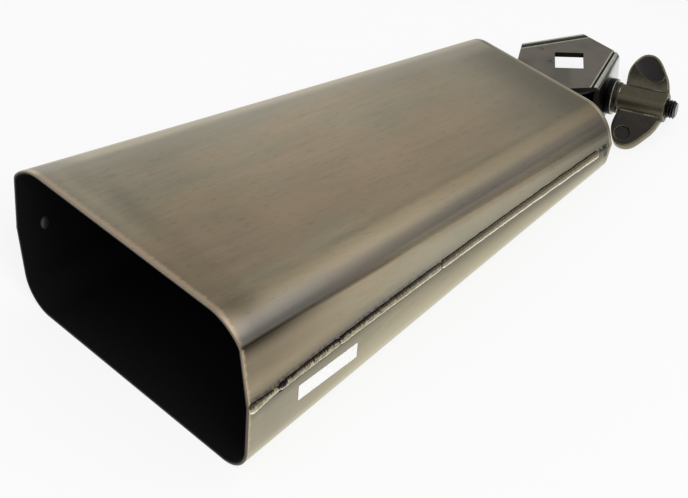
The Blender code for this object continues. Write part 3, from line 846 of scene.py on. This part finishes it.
# The clamp bracket is cut from thicker steel plate and folded at its right edge into a clip of
# two hexagonal plates with a square rod hole through both. A line is pressed beside each long
# edge. It is lacquered a darker bronze, with scuffs where rods have been pushed in. Light and
# shade are painted on the bands along its edges, in its pressed lines, on its fold and inside the clip.
BRACKET_HEIGHT = 0.024
BRACKET_SHEET = 0.0023
BEND_R = 0.0026
BASE_HALF_WIDTH = 0.0125
FLARE_HALF_WIDTH = 0.0230
FLARE_OUT = 0.0143
TIP_HALF_WIDTH = 0.0109
TIP_OUT = 0.0396
ROD_OUT = 0.0198
ROD_HOLE_SIDE = 0.0122
SEAT = 0.0003               # left between pieces that bear on each other
BOLT_R = 0.0040
BOLT_PLAY = 0.0003          # all round the bolt in its holes
BOLT_DROP = 0.0012          # of the bolt below the bell's middle plane
GROOVE_IN = 0.0027
GROOVE_LONG = 0.1           # past both ends of the edge
GROOVE_WIDTH = 0.0008
GROOVE_DEEP = 0.0006
CUT_EDGE_R = 0.00025
ROUND_CUT_SIDES = 48
FACE = BELL_LENGTH / 2

right_edge = [Vector((FLARE_HALF_WIDTH, FACE + FLARE_OUT, 0)),
              Vector((TIP_HALF_WIDTH, FACE + TIP_OUT, 0))]
along = (right_edge[1] - right_edge[0]).normalized()
outward = Vector((along.y, -along.x, 0))
bolt_level = Vector((0, FACE + ROD_OUT, -BOLT_DROP))
reach = (right_edge[0] - bolt_level).dot(outward)
bolt_axis = (lay @ Matrix.Translation(bolt_level + outward * reach)
             @ Matrix((along, (0, 0, 1), outward)).transposed().to_4x4())
unlay = lay.inverted()


def cut(obj, other, operation='DIFFERENCE', solver='EXACT'):
    modifier(obj, 'BOOLEAN', object=other, operation=operation, solver=solver)


def block(name, size, matrix):
    bm = bmesh.new()
    bmesh.ops.create_cube(bm, size=1.0, matrix=matrix @ Matrix.Diagonal((*size, 1.0)))
    return working(name, bm)


def rod(name, radius, low, high, matrix):
    bm = bmesh.new()
    bmesh.ops.create_cone(bm, cap_ends=True, segments=ROUND_CUT_SIDES, radius1=radius, radius2=radius,
                          depth=high - low, matrix=matrix @ Matrix.Translation((0, 0, (low + high) / 2)))
    return working(name, bm)


def groove_matrix(side, up):
    """Along a long edge of a plate, its origin on the plate's face over the pressed line."""
    turn = Matrix((along, -outward, (0, 0, 1))).transposed().to_4x4()
    middle = (right_edge[0] + right_edge[1]) / 2 - outward * GROOVE_IN
    flip = Matrix.Diagonal((side, 1, 1, 1))
    return flip @ Matrix.Translation((*middle.xy, up * BRACKET_HEIGHT / 2)) @ turn


bm = bmesh.new()
corners = [bm.verts.new((x, FACE + y, BRACKET_HEIGHT / 2))
           for x, y in ((-BASE_HALF_WIDTH, SEAT), (BASE_HALF_WIDTH, SEAT),
                        (FLARE_HALF_WIDTH, FLARE_OUT), (TIP_HALF_WIDTH, TIP_OUT),
                        (-TIP_HALF_WIDTH, TIP_OUT), (-FLARE_HALF_WIDTH, FLARE_OUT))]
bm.faces.new(corners)
fold = bm.edges.get((corners[2], corners[3]))
folded = bmesh.ops.extrude_edge_only(bm, edges=[fold])["geom"]
bmesh.ops.translate(bm, vec=(0, 0, -BRACKET_HEIGHT / 2),
                    verts=[v for v in folded if isinstance(v, bmesh.types.BMVert)])
bmesh.ops.recalc_face_normals(bm, faces=bm.faces)
bm.normal_update()
if max(bm.faces, key=lambda f: f.calc_center_median().z).normal.z < 0:
    bmesh.ops.reverse_faces(bm, faces=bm.faces)
bmesh.ops.bevel(bm, geom=[fold], offset=BEND_R, offset_type='OFFSET', segments=12, profile=0.5,
                affect='EDGES', clamp_overlap=False)
bracket = working("bracket_work", bm)
modifier(bracket, 'MIRROR', use_axis=(False, False, True), merge_threshold=0.00005)
modifier(bracket, 'SOLIDIFY', thickness=BRACKET_SHEET, offset=-1.0, use_even_offset=True)
cutters = [block("rod_cut", (ROD_HOLE_SIDE, ROD_HOLE_SIDE, BRACKET_HEIGHT * 2),
                 Matrix.Translation((0, FACE + ROD_OUT, 0)) @ Matrix.Rotation(radians(45), 4, 'Z')),
           rod("bolt_cut", BOLT_R + BOLT_PLAY, -BRACKET_SHEET * 2, BRACKET_SHEET, unlay @ bolt_axis)]
for side in (1, -1):
    for up in (1, -1):
        cutters.append(block(f"groove_{side}_{up}", (GROOVE_LONG, GROOVE_WIDTH, GROOVE_DEEP * 2),
                             groove_matrix(side, up)))
for cutter in cutters:
    cut(bracket, cutter)
modifier(bracket, 'BEVEL', width=CUT_EDGE_R, segments=2, limit_method='ANGLE', angle_limit=radians(60))
modifier(bracket, 'WEIGHTED_NORMAL', keep_sharp=False)
bracket_mesh = settled(bracket, "rod_clamp_bracket", cutters)
bracket_mesh.transform(lay)

BRACKET_DULL = (0.140, 0.126, 0.102)
BRACKET_LIGHT = (0.186, 0.164, 0.134)
BAND_GREY = (0.52, 0.52, 0.45)
BAND_DARK = (0.045, 0.044, 0.040)
LIP_LIGHT = (0.62, 0.60, 0.46)
FOLD_PALE = (0.78, 0.79, 0.77)
LINE_DARK = (0.014, 0.013, 0.012)
FOLD_CREASE = 0.00055       # the bend's outer crease lies so far inside the fold's face
FOLD_SHADED = (FACE + 0.0205, FACE + 0.0300)    # out along the fold, from where its shade ends to clear
LIP = (GROOVE_IN, GROOVE_IN + 0.0003, GROOVE_IN + 0.0009, GROOVE_IN + 0.0014)
SCUFFS = ((-0.0145, 0.0176), (-0.0047, 0.0126))     # across, and out from the end plate
SCUFF_LONG = 0.0022
SCUFF_WIDE = 0.0012
dark_bronze = Finish("bracket_bronze", Metallic=1.0)
streak = dark_bronze.place.grain((260, 1500, 1500))
cloud = dark_bronze.place.grain(70)
blotch = dark_bronze.place.grain(420)
aside, ahead, level = dark_bronze.place.parts()
out_along = ahead * cos(taper) - (level - lift) * sin(taper)
inside = right_edge[0].dot(outward) - abs(aside) * outward.x - out_along * outward.y
left = aside.fall(-0.001, 0.001)
right = 1.0 - left
tone = cloud.rise(0.35, 0.65).blend(BRACKET_DULL, BRACKET_LIGHT)
tone = tone.lit(1.0 + streak.swing(0.28))
# Painted light and shade: a grey band by the right edge and a dark band by the left, light lines on the
# lips, shade in the pressed lines, a painted reflection on the fold's face that turns to painted shade by
# the bell, and a dark line in the fold's crease
band_tone = left.blend(BAND_GREY, BAND_DARK).lit(0.5 + blotch)
band_tone = band_tone.towards(LIP_LIGHT, inside.fall(0.0006, 0.0012) * left)
tone = tone.towards(band_tone, inside.fall(GROOVE_IN - 0.0005, GROOVE_IN))
tone = tone.towards(LIP_LIGHT, inside.hump(*LIP) * (0.2 + blotch * 0.8))
tone = tone.towards(LINE_DARK, abs(inside - GROOVE_IN).fall(GROOVE_WIDTH * 0.4, GROOVE_WIDTH * 0.8))
fold_tone = out_along.fall(*FOLD_SHADED).blend(FOLD_PALE, LINE_DARK)
tone = tone.towards(fold_tone, inside.fall(FOLD_CREASE * 0.2, FOLD_CREASE * 0.7) * right)
tone = tone.towards(LINE_DARK, abs(inside - FOLD_CREASE).fall(0.00008, 0.00022) * right * 0.8)
for scuff_x, scuff_out in SCUFFS:
    gap_x = (aside - scuff_x + blotch.swing(0.004)) / SCUFF_LONG
    gap_y = (out_along - (FACE + scuff_out) + streak.swing(0.004)) / SCUFF_WIDE
    scuff = (gap_x * gap_x + gap_y * gap_y).fall(0.3, 1.0)
    tone = tone.towards(LINE_DARK, scuff * blotch.rise(0.40, 0.60) * 0.6)
dark_bronze.feed(Base_Color=tone, Roughness=0.40 + streak.swing(0.16))
dark_bronze.bump(streak, 0.000015, 0.5)

CLIP_SHADE_BLACK = (0.006, 0.006, 0.006)
CLIP_SHADE_MOTTLE = (0.022, 0.020, 0.018)
PLATE_INWARDS = -0.5        # parts of a normal, at most: out from the clip's plates,
WALL_INWARDS = -0.7         # out from its wall
TO_THE_BELL = -0.3          # and along the bell
clip_shade = mottled("bracket_inside", 600, (CLIP_SHADE_BLACK, CLIP_SHADE_MOTTLE), (0.5, 0.7),
                     Metallic=0.5, Specular_IOR_Level=0.3)
# Faces that look into the clip or back at the bell are painted black as shade
for face in bracket_mesh.polygons:
    normal = unlay.to_3x3() @ face.normal
    centre = unlay @ face.center
    from_plate = normal.z if centre.z > 0 else -normal.z
    facing_in = from_plate < PLATE_INWARDS or normal.dot(outward) < WALL_INWARDS
    face.material_index = 1 if facing_in or normal.y < TO_THE_BELL else 0
piece("rod_clamp_bracket", bracket_mesh, "bell", "bracket", ["clamp_bracket"], dark_bronze, clip_shade)


# The bracket's foot is held on the end plate by two short fillet welds, one over and one under it.
# They are laid by hand like the seams' beads, of the same steel, and lacquered with them.
FOOT_BEAD = 0.0030
FOOT_IN = 0.0006            # from the angle's edges to the bead's middle
FOOT_CROWN = 1.0            # these beads are round
FOOT_SEED = 9.0
for name, up, node in (("bracket_foot_bead_top", 1, "bracket_top_weld"),
                       ("bracket_foot_bead_under", -1, "bracket_bottom_weld")):
    half = BASE_HALF_WIDTH - FOOT_IN
    path = [((x, FACE + SEAT + FOOT_IN, up * (BRACKET_HEIGHT / 2 + FOOT_IN)), FOOT_BEAD)
            for x in (-half, half)]
    piece(name, bead_mesh(name, [path], FOOT_CROWN, FOOT_SEED + up), "bell", "weld", [node], weld)


# The washer is a thick ring of turned and blackened steel. It sits loose on the eye bolt between
# the bracket's wall and the nut, which has rubbed its front corner bright; a painted highlight lies
# along that corner too.
WASHER_R = 0.00775
WASHER_T = 0.0028
WASHER_EDGE = 0.00035
WASHER_SIDES = 64
HOLE_R = BOLT_R + BOLT_PLAY
SHORTEST_EDGE = 1e-7        # keeps a mesh edge without length from dividing by zero
WASHER_BLACK = (0.012, 0.011, 0.012)
WASHER_WEAR_AND_HIGHLIGHT = (0.62, 0.56, 0.42)


def turned(profile, matrix, steps, closed=True):
    """A profile of (radius, height) pairs turned about Z; radius 0 closes it on the axis."""
    bm = bmesh.new()
    rings = []
    for r, z in profile:
        if r == 0:
            rings.append([bm.verts.new((0, 0, z))] * steps)
        else:
            rings.append([bm.verts.new((r * cos(2 * pi * i / steps), r * sin(2 * pi * i / steps), z))
                          for i in range(steps)])
    for a, b in zip(rings, rings[1:] + (rings[:1] if closed else [])):
        for i in range(steps):
            j = (i + 1) % steps
            bm.faces.new(dict.fromkeys((a[i], a[j], b[j], b[i])))
    bmesh.ops.recalc_face_normals(bm, faces=bm.faces)
    bmesh.ops.transform(bm, matrix=matrix, verts=bm.verts)
    return bm


def rounded(corner_r, centre_r, centre_z, first, last, steps=4):
    """Points of a corner from angle first to last in degrees, about its centre."""
    return [(centre_r + corner_r * cos(a), centre_z + corner_r * sin(a))
            for a in (radians(between(first, last, i / steps)) for i in range(steps + 1))]


def keep_on(mesh, name, values):
    """Keeps a number on each of a mesh's vertices."""
    mesh.attributes.new(name, 'FLOAT', 'POINT').data.foreach_set("value", values)


def edge_wear(mesh, rounds):
    """Keeps how far each vertex stands proud of its neighbours, evened out in so many rounds, as the
    attribute wear."""
    bm = bmesh.new()
    bm.from_mesh(mesh)
    bm.normal_update()
    bm.verts.ensure_lookup_table()
    proud = []
    for vert in bm.verts:
        steps = [vert.co - edge.other_vert(vert).co for edge in vert.link_edges]
        heights = [s.dot(vert.normal) / max(s.length, SHORTEST_EDGE) for s in steps]
        proud.append(sum(heights) / max(len(steps), 1))
    for _ in range(rounds):
        proud = [(proud[v.index] + sum(proud[e.other_vert(v).index] for e in v.link_edges))
                 / (1 + len(v.link_edges)) for v in bm.verts]
    bm.free()
    keep_on(mesh, "wear", proud)


profile = (rounded(WASHER_EDGE, WASHER_R - WASHER_EDGE, WASHER_T - WASHER_EDGE, 90, 0)
           + rounded(WASHER_EDGE, WASHER_R - WASHER_EDGE, WASHER_EDGE, 0, -90)
           + [(HOLE_R, 0.0), (HOLE_R, WASHER_T)])
washer_place = bolt_axis @ Matrix.Translation((0, 0, SEAT))
washer_mesh = mesh_of("thick_washer", turned(profile, washer_place, WASHER_SIDES))
sharp_shaded(washer_mesh, 40)
edge_wear(washer_mesh, 1)
black = Finish("washer_black", Metallic=1.0)
speck = black.place.grain(1300)
axis = (bolt_axis.to_3x3() @ Vector((0, 0, 1))).normalized()
axis_foot = axis.dot(bolt_axis.translation)
washer_front = axis_foot + SEAT + WASHER_T
# The front corner: wear, with a painted highlight
wear_and_highlight = (black.kept("wear") + speck.swing(0.06)).rise(0.06, 0.14)
wear_and_highlight = wear_and_highlight * black.place.along(axis).rise(washer_front - WASHER_EDGE * 1.6,
                                           washer_front - WASHER_EDGE * 0.8)
black.feed(Base_Color=wear_and_highlight.blend(WASHER_BLACK, WASHER_WEAR_AND_HIGHLIGHT), Roughness=0.34 + speck * 0.18)
black.bump(speck, 0.00003, 0.4)
piece("thick_washer", washer_mesh, "bell", "washer", ["washer"], black)


# The wing nut is one metal casting, screwed on the eye bolt: a barrel with a flat panel on each
# side and two round wings, dished on one face and dimpled on the other. Its dark bronze lacquer is
# rubbed golden on every edge. Painted shade darkens its hollows, its collar by the washer and the
# dimpled face next to the barrel, and painted highlights lie on the dish's ridge and the wings' roots.
NUT_FOOT = SEAT + WASHER_T + SEAT
NUT_LENGTH = 0.0224
NUT_R = 0.00625
NUT_COLLAR_R = 0.0067
NUT_COLLAR = 0.0014
NUT_EDGE = (NUT_R - HOLE_R) / 4
NUT_FLAT = 0.0056
NUT_FLAT_ANGLE = 74         # degrees from a wing
NUT_SIDES = 72
WING_REACH = 0.0224
WING_FRONT = 0.0027
WING_TIP_AT = 0.0085
WING_SHOULDER = 0.0162
WING_BACK_REACH = 0.0142
WING_BACK_AT = 0.0186
WING_T = 0.0042
WING_EDGE_R = 0.0011
WING_ANGLE = 31.4           # degrees that the tight nut is turned
DIMPLE_D = 0.0064
DIMPLE_DEEP = 0.0009
DIMPLE_REACH = 0.0164
DIMPLE_AT = 0.0078
SCOOP_LENGTH = 0.0180
SCOOP_WIDTH = 0.0100
SCOOP_DEEP = 0.0015
SCOOP_REACH = 0.0166
SCOOP_AT = 0.0104
CAST_CELL = 0.00020         # of the mesh that joins barrel and wings in one skin
RIM_WEAR = 0.0008           # how far in from a wing's edge it is rubbed
ROOT_BLEND = 0.0015         # how far out from the barrel a wing's marks set in
DISH_FROM = 0.0001          # below a wing's face, where its hollow starts
DISH_FULL = 0.0005          # below that, where its marks are full
WING_FACE = 0.3             # least part across the wing of a normal on its faces
TOUCHING = 0.00001          # what lies nearer than this is at the same place
wing_root = (HOLE_R + NUT_FLAT) / 2


def outline_work(name, points, half_depth, round_r, matrix):
    """A smooth flat outline of (x, y, handle) points, given depth along Z and a rounded edge, and
    the points of that edge."""
    data = bpy.data.curves.new(name, 'CURVE')
    data.dimensions = '2D'
    data.fill_mode = 'BOTH'
    data.extrude = half_depth - round_r
    data.bevel_depth = round_r
    data.bevel_resolution = 3
    data.offset = -round_r
    data.resolution_u = 12
    spline = data.splines.new('BEZIER')
    spline.bezier_points.add(len(points) - 1)
    for point, (x, y, handle) in zip(spline.bezier_points, points):
        point.co = (x, y, 0.0)
        point.handle_left_type = point.handle_right_type = handle
    spline.use_cyclic_u = True
    mesh = settled(shown(name, data), name)
    straight = half_depth - round_r + TOUCHING
    edge = [vert.co.xy.copy() for vert in mesh.vertices if abs(vert.co.z) < straight]
    bm = bmesh.new()
    bm.from_mesh(mesh)
    bmesh.ops.remove_doubles(bm, verts=bm.verts, dist=TOUCHING)
    bmesh.ops.recalc_face_normals(bm, faces=bm.faces)
    bmesh.ops.transform(bm, matrix=matrix, verts=bm.verts)
    return working(name, bm), edge


profile = (rounded(NUT_EDGE, NUT_R - NUT_EDGE, NUT_LENGTH - NUT_EDGE, 90, 0)
           + [(NUT_R, NUT_COLLAR + NUT_EDGE), (NUT_COLLAR_R, NUT_COLLAR), (NUT_COLLAR_R, 0.0),
              (HOLE_R, 0.0), (HOLE_R, NUT_LENGTH)])
nut = working("nut_work", turned(profile, Matrix.Identity(4), NUT_SIDES))
wing_shape = [(wing_root, WING_FRONT, 'VECTOR'), (WING_SHOULDER, WING_FRONT, 'AUTO'),
              (WING_REACH, WING_TIP_AT, 'AUTO'), (WING_BACK_REACH, WING_BACK_AT, 'AUTO'),
              (wing_root, NUT_LENGTH - NUT_EDGE * 0.3, 'VECTOR')]
scoop_slant = atan2(WING_BACK_AT - WING_TIP_AT, WING_BACK_REACH - WING_REACH)
to_wing = Matrix.Rotation(radians(90), 4, 'X')
half_turns = [(turn, Matrix.Rotation(radians(turn), 4, 'Z')) for turn in (0, 180)]
cutters = []
for turn, about in half_turns:
    panel = block(f"panel_{turn}", (NUT_R * 2, NUT_R * 2, NUT_LENGTH * 2),
                  about @ Matrix.Rotation(radians(NUT_FLAT_ANGLE), 4, 'Z')
                  @ Matrix.Translation((NUT_FLAT + NUT_R, 0, NUT_COLLAR + NUT_EDGE / 2 + NUT_LENGTH)))
    cut(nut, panel)
    cutters.append(panel)
for turn, about in half_turns:
    wing, wing_edge = outline_work(f"wing_{turn}", wing_shape, WING_T / 2, WING_EDGE_R, about @ to_wing)
    dimple_place = Matrix.Translation((DIMPLE_REACH, -WING_T / 2 + DIMPLE_DEEP, DIMPLE_AT))
    dimple = rod(f"dimple_{turn}", DIMPLE_D / 2, 0, WING_T, about @ dimple_place @ to_wing)
    bm = bmesh.new()
    bmesh.ops.create_uvsphere(bm, u_segments=40, v_segments=20, radius=0.5,
                              matrix=about @ Matrix.Translation((SCOOP_REACH, WING_T / 2, SCOOP_AT))
                              @ Matrix.Rotation(-scoop_slant, 4, 'Y')
                              @ Matrix.Diagonal((SCOOP_LENGTH, SCOOP_DEEP * 2, SCOOP_WIDTH, 1)))
    scoop = working(f"scoop_{turn}", bm)
    cut(wing, dimple)
    cut(wing, scoop)
    cut(nut, wing, 'UNION', 'MANIFOLD')
    cutters += [wing, dimple, scoop]
modifier(nut, 'REMESH', mode='VOXEL', voxel_size=CAST_CELL)
modifier(nut, 'SMOOTH', factor=0.5, iterations=5)
nut_mesh = settled(nut, "cast_wing_nut", cutters)


def share_of(value):
    return min(1.0, max(0.0, value))


def wing_marks(mesh, edge):
    """Keeps on each vertex of the nut how near it is to a wing's outline (rim), how deep it lies in
    a wing's hollow (dish), how far out on a wing it is (reach) and if it is on the side with the
    round dimples (dimpled), all from 0 to 1."""
    line = [(x, z, 0) for x, z in edge if x > NUT_R]
    outline = KDTree(len(line))
    for i, point in enumerate(line):
        outline.insert(point, i)
    outline.balance()
    rim, dish, reach, dimpled = [], [], [], []
    for vert in mesh.vertices:
        x, y, z = vert.co
        out = abs(x)
        level = y if x > 0 else -y
        on_wing = share_of((out - NUT_R) / ROOT_BLEND)
        from_rim = outline.find((out, z, 0))[2] - WING_EDGE_R * 0.6
        sunk = WING_T / 2 - abs(level) - DISH_FROM
        on_face = abs(vert.normal.y) > WING_FACE
        rim.append(on_wing * (1 - share_of(from_rim / RIM_WEAR)))
        dish.append(on_wing * share_of(sunk / DISH_FULL) if on_face else 0.0)
        reach.append(share_of((out - NUT_R) / (WING_REACH - NUT_R)))
        dimpled.append(1.0 if level < 0 else 0.0)
    for name, values in (("rim", rim), ("dish", dish), ("reach", reach), ("dimpled", dimpled)):
        keep_on(mesh, name, values)


sharp_shaded(nut_mesh, 60)
wing_marks(nut_mesh, wing_edge)
nut_mesh.transform(bolt_axis @ Matrix.Translation((0, 0, NUT_FOOT))
                   @ Matrix.Rotation(radians(WING_ANGLE), 4, 'Z'))
edge_wear(nut_mesh, 4)
NUT_DARK = (0.045, 0.040, 0.033)
NUT_BROWN = (0.112, 0.098, 0.068)
NUT_GOLD = (0.30, 0.262, 0.170)
NUT_HOLLOW = (0.036, 0.033, 0.034)
NUT_PAINTED_GLINT = (0.70, 0.68, 0.64)
cast = Finish("nut_bronze", Metallic=1.0)
skin = cast.place.grain(1400)
cloud = cast.place.grain(260, 2.0)
proud, rim, dish, far_out, dimpled = [cast.kept(name)
                                      for name in ("wear", "rim", "dish", "reach", "dimpled")]
collar_end = axis_foot + NUT_FOOT + NUT_COLLAR
tone = (far_out + cloud.swing(0.4)).rise(0.02, 0.35).blend(NUT_BROWN, NUT_DARK)
# Painted shade on the collar by the washer, on the dimpled face next to the barrel and in the hollows
tone = tone.towards(NUT_HOLLOW, cast.place.along(axis).fall(collar_end, collar_end + NUT_EDGE))
tone = tone.towards(NUT_HOLLOW, far_out.hump(0.0, 0.03, 0.10, 0.42) * dimpled * 0.8)
tone = tone.towards(NUT_HOLLOW, dish * 0.8)
tone = tone.lit(0.6 + skin * 0.8)
# A painted highlight on the ridge round each dish
ridge = dish.hump(0.02, 0.20, 0.50, 1.0) * rim.fall(0.1, 0.4)
tone = tone.towards(NUT_GOLD, ridge * 0.8)
rub_and_highlight = (proud + skin.swing(0.05)).rise(0.03, 0.13) * 0.8
tone = tone.towards(NUT_GOLD, rub_and_highlight.larger((rim + cloud.swing(0.5)).rise(0.35, 1.0) * 0.75))
# A painted glint along the joints of the wings and the barrel
joint = proud.fall(-0.10, -0.03) * far_out.fall(0.02, 0.14)
tone = tone.towards(NUT_PAINTED_GLINT, joint * (cloud + skin.swing(0.6)).rise(0.50, 0.62))
cast.feed(Base_Color=tone, Roughness=0.34 + skin.swing(0.2))
cast.bump(skin, 0.00006, 0.5)
piece("cast_wing_nut", nut_mesh, "wing_nut", "nut", ["wing_nut"], cast)


# The eye bolt is forged steel: a ring round the rod and a shank that is threaded M8 up to its end.
# It is blackened, with the saw cut on its end left bright, and hangs through the bracket's wall.
EYE_BORE = 0.0130
EYE_WIRE = 0.0055
BOLT_STUB = 0.0042
BOLT_CHAMFER = 0.0008
THREAD_PITCH = 0.00125
THREAD_DEEP = 0.00062
EYE_RING_R = (EYE_BORE + EYE_WIRE) / 2
EYE_AT = -(BRACKET_SHEET + SEAT + EYE_RING_R + EYE_WIRE / 2)
BOLT_END = NUT_FOOT + NUT_LENGTH + BOLT_STUB
SHANK_STEP = 0.00014
SHANK_SIDES = 56
EYE_STEPS = 72
EYE_SIDES = 28
BOLT_BLACK = (0.020, 0.019, 0.019)
BOLT_WORN = (0.22, 0.20, 0.17)
SAWN_DULL = (0.20, 0.20, 0.20)
SAWN_BRIGHT = (0.55, 0.55, 0.54)


def thread_shaping():
    """Sinks a screw thread into a shank about Z: Pitch and Depth in metres, from Start to Stop."""
    tree = Shaping("screw_thread", "Pitch", "Depth", "Start", "Stop")
    pitch, depth, start, stop = tree.sizes
    x, y, z = tree.node('GeometryNodeInputPosition').parts()
    turns = z / pitch + x.math('ARCTAN2', y, x) / (2 * pi)
    groove = turns.math('PINGPONG', turns, 0.5) * 2.0
    sunk = groove * (z.rise(start, start + pitch) * z.fall(stop - pitch * 0.5, stop)) * depth
    outwards = tree.node('ShaderNodeCombineXYZ', {}, {0: x, 1: y})
    outwards = tree.node('ShaderNodeVectorMath', {'operation': 'NORMALIZE'}, {0: outwards})
    inwards = outwards.lit(sunk * -1.0)
    tree.end(tree.node('GeometryNodeSetPosition', {}, {'Geometry': tree.shape, 'Offset': inwards}))
    return tree


bolt_black = Finish("bolt_black", Metallic=1.0)
speck = bolt_black.place.grain(1500)
wear_and_highlight = (bolt_black.kept("wear") + speck.swing(0.2)).rise(0.12, 0.34)
bolt_black.feed(Base_Color=(wear_and_highlight * 0.5).blend(BOLT_BLACK, BOLT_WORN), Roughness=0.36 + speck.swing(0.24))
bolt_black.bump(speck, 0.00003, 0.4)
sawn = mottled("sawn_steel", (700, 700, 9000), (SAWN_DULL, SAWN_BRIGHT), (0.30, 0.55),
               detail=2.0, Metallic=1.0)

low = EYE_AT + EYE_RING_R
shank_rings = int((BOLT_END - BOLT_CHAMFER - low) / SHANK_STEP)
profile = [(0, BOLT_END), (BOLT_R - BOLT_CHAMFER, BOLT_END)]
profile += [(BOLT_R, between(BOLT_END - BOLT_CHAMFER, low, i / shank_rings))
            for i in range(shank_rings + 1)]
profile += [(0, low)]
shank = working("shank_work", turned(profile, Matrix.Identity(4), SHANK_SIDES, closed=False))
shank_mesh = thread_shaping().run(shank, "shank", bolt_black, Pitch=THREAD_PITCH, Depth=THREAD_DEEP,
                                  Start=0.0, Stop=BOLT_END + THREAD_PITCH)
bm = bmesh.new()
bm.from_mesh(shank_mesh)
for face in bm.faces:
    if face.calc_center_median().z > BOLT_END - TOUCHING:
        face.material_index = 1
turn_down = Matrix.Translation((0, 0, EYE_AT)) @ Matrix.Rotation(radians(90), 4, 'X')
loops = []
for i in range(EYE_STEPS):
    a = 2 * pi * i / EYE_STEPS
    loops.append([])
    for j in range(EYE_SIDES):
        b = 2 * pi * j / EYE_SIDES
        r = EYE_RING_R + EYE_WIRE / 2 * cos(b)
        point = Vector((r * cos(a), r * sin(a), EYE_WIRE / 2 * sin(b)))
        loops[-1].append(bm.verts.new(turn_down @ point))
for here, following in zip(loops, loops[1:] + loops[:1]):
    for j in range(EYE_SIDES):
        k = (j + 1) % EYE_SIDES
        bm.faces.new((here[j], following[j], following[k], here[k]))
bmesh.ops.recalc_face_normals(bm, faces=bm.faces)
bolt_mesh = mesh_of("forged_eye_bolt", bm)
sharp_shaded(bolt_mesh, 35)
bolt_mesh.transform(bolt_axis)
edge_wear(bolt_mesh, 0)
piece("forged_eye_bolt", bolt_mesh, "eye_bolt", "bolt", ["eye_bolt"], bolt_black, sawn)


# A small white paper label, blank, is stuck on the lower right wall near the mouth. It is cut with
# slightly rounded corners and lies flat on the sheet.
LABEL_LENGTH = 0.0322
LABEL_WIDTH = 0.0075
LABEL_FROM_MOUTH = 0.0427
LABEL_BELOW_SEAM = 0.0102
LABEL_THICK = 0.00012
LABEL_GLUE = 0.00001        # between the sheet and the paper
LABEL_CORNER = 0.0004
PAPER_GREY = (0.86, 0.86, 0.85)
PAPER_WHITE = (0.96, 0.96, 0.95)


def wall_point(from_mouth, below, out):
    """On the lower right wall, so far from the mouth and below the seam, raised off the sheet."""
    f = from_mouth / BELL_LENGTH
    lean = wall_lean(f, -1)
    return Vector((section_sizes(f)[0] - (below + seam_level(f)) * tan(lean) + out / cos(lean),
                   from_mouth - BELL_LENGTH / 2, -below))


label_outline = []
for quarter, (toward_end, down) in enumerate(((1, 1), (-1, 1), (-1, -1), (1, -1))):
    corner_along = LABEL_FROM_MOUTH + toward_end * (LABEL_LENGTH / 2 - LABEL_CORNER)
    corner_below = LABEL_BELOW_SEAM + down * (LABEL_WIDTH / 2 - LABEL_CORNER)
    label_outline += rounded(LABEL_CORNER, corner_along, corner_below, quarter * 90, quarter * 90 + 90)
bm = bmesh.new()
front, back = [[bm.verts.new(wall_point(x, y, out)) for x, y in label_outline]
               for out in (LABEL_THICK, LABEL_GLUE)]
bm.faces.new(front)
bm.faces.new(back)
for i in range(len(label_outline)):
    j = (i + 1) % len(label_outline)
    bm.faces.new((front[i], front[j], back[j], back[i]))
bmesh.ops.recalc_face_normals(bm, faces=bm.faces)
label_mesh = mesh_of("blank_label", bm)
sharp_shaded(label_mesh, 30)
label_mesh.transform(lay)
paper = mottled("label_paper", 900, (PAPER_GREY, PAPER_WHITE), (0.5, 0.7), (0.00002, 0.4),
                Specular_IOR_Level=0.3)
piece("blank_label", label_mesh, "bell", "shell", [], paper)


# A drop of weld metal came through the left seam just inside the mouth and set there. It is steel,
# and the inside's black paint covers it only thinly.
DROP_FROM_MOUTH = 0.0115
DROP_LEVEL = -0.0017
DROP_LENGTH = 0.0060
DROP_WIDTH = 0.0040
DROP_HIGH = 0.0011
DROP_DARK = (0.02, 0.02, 0.022)
DROP_LIGHT = (0.11, 0.11, 0.115)
inner = -(section_sizes(DROP_FROM_MOUTH / BELL_LENGTH)[0] - SHEET)
drop_place = Matrix.Translation((inner, DROP_FROM_MOUTH - BELL_LENGTH / 2, DROP_LEVEL))
bm = bmesh.new()
bmesh.ops.create_uvsphere(bm, u_segments=32, v_segments=16, radius=0.5,
                          matrix=drop_place @ Matrix.Diagonal((DROP_HIGH * 2, DROP_WIDTH, DROP_LENGTH, 1)))
drop_mesh = mesh_of("weld_drop", bm)
drop_mesh.shade_smooth()
drop_mesh.transform(lay)
drop_grey = mottled("drop_grey", 1200, (DROP_DARK, DROP_LIGHT), (0.35, 0.55), (0.0001, 0.6), Metallic=0.6)
piece("weld_drop", drop_mesh, "bell", "weld", [], drop_grey)
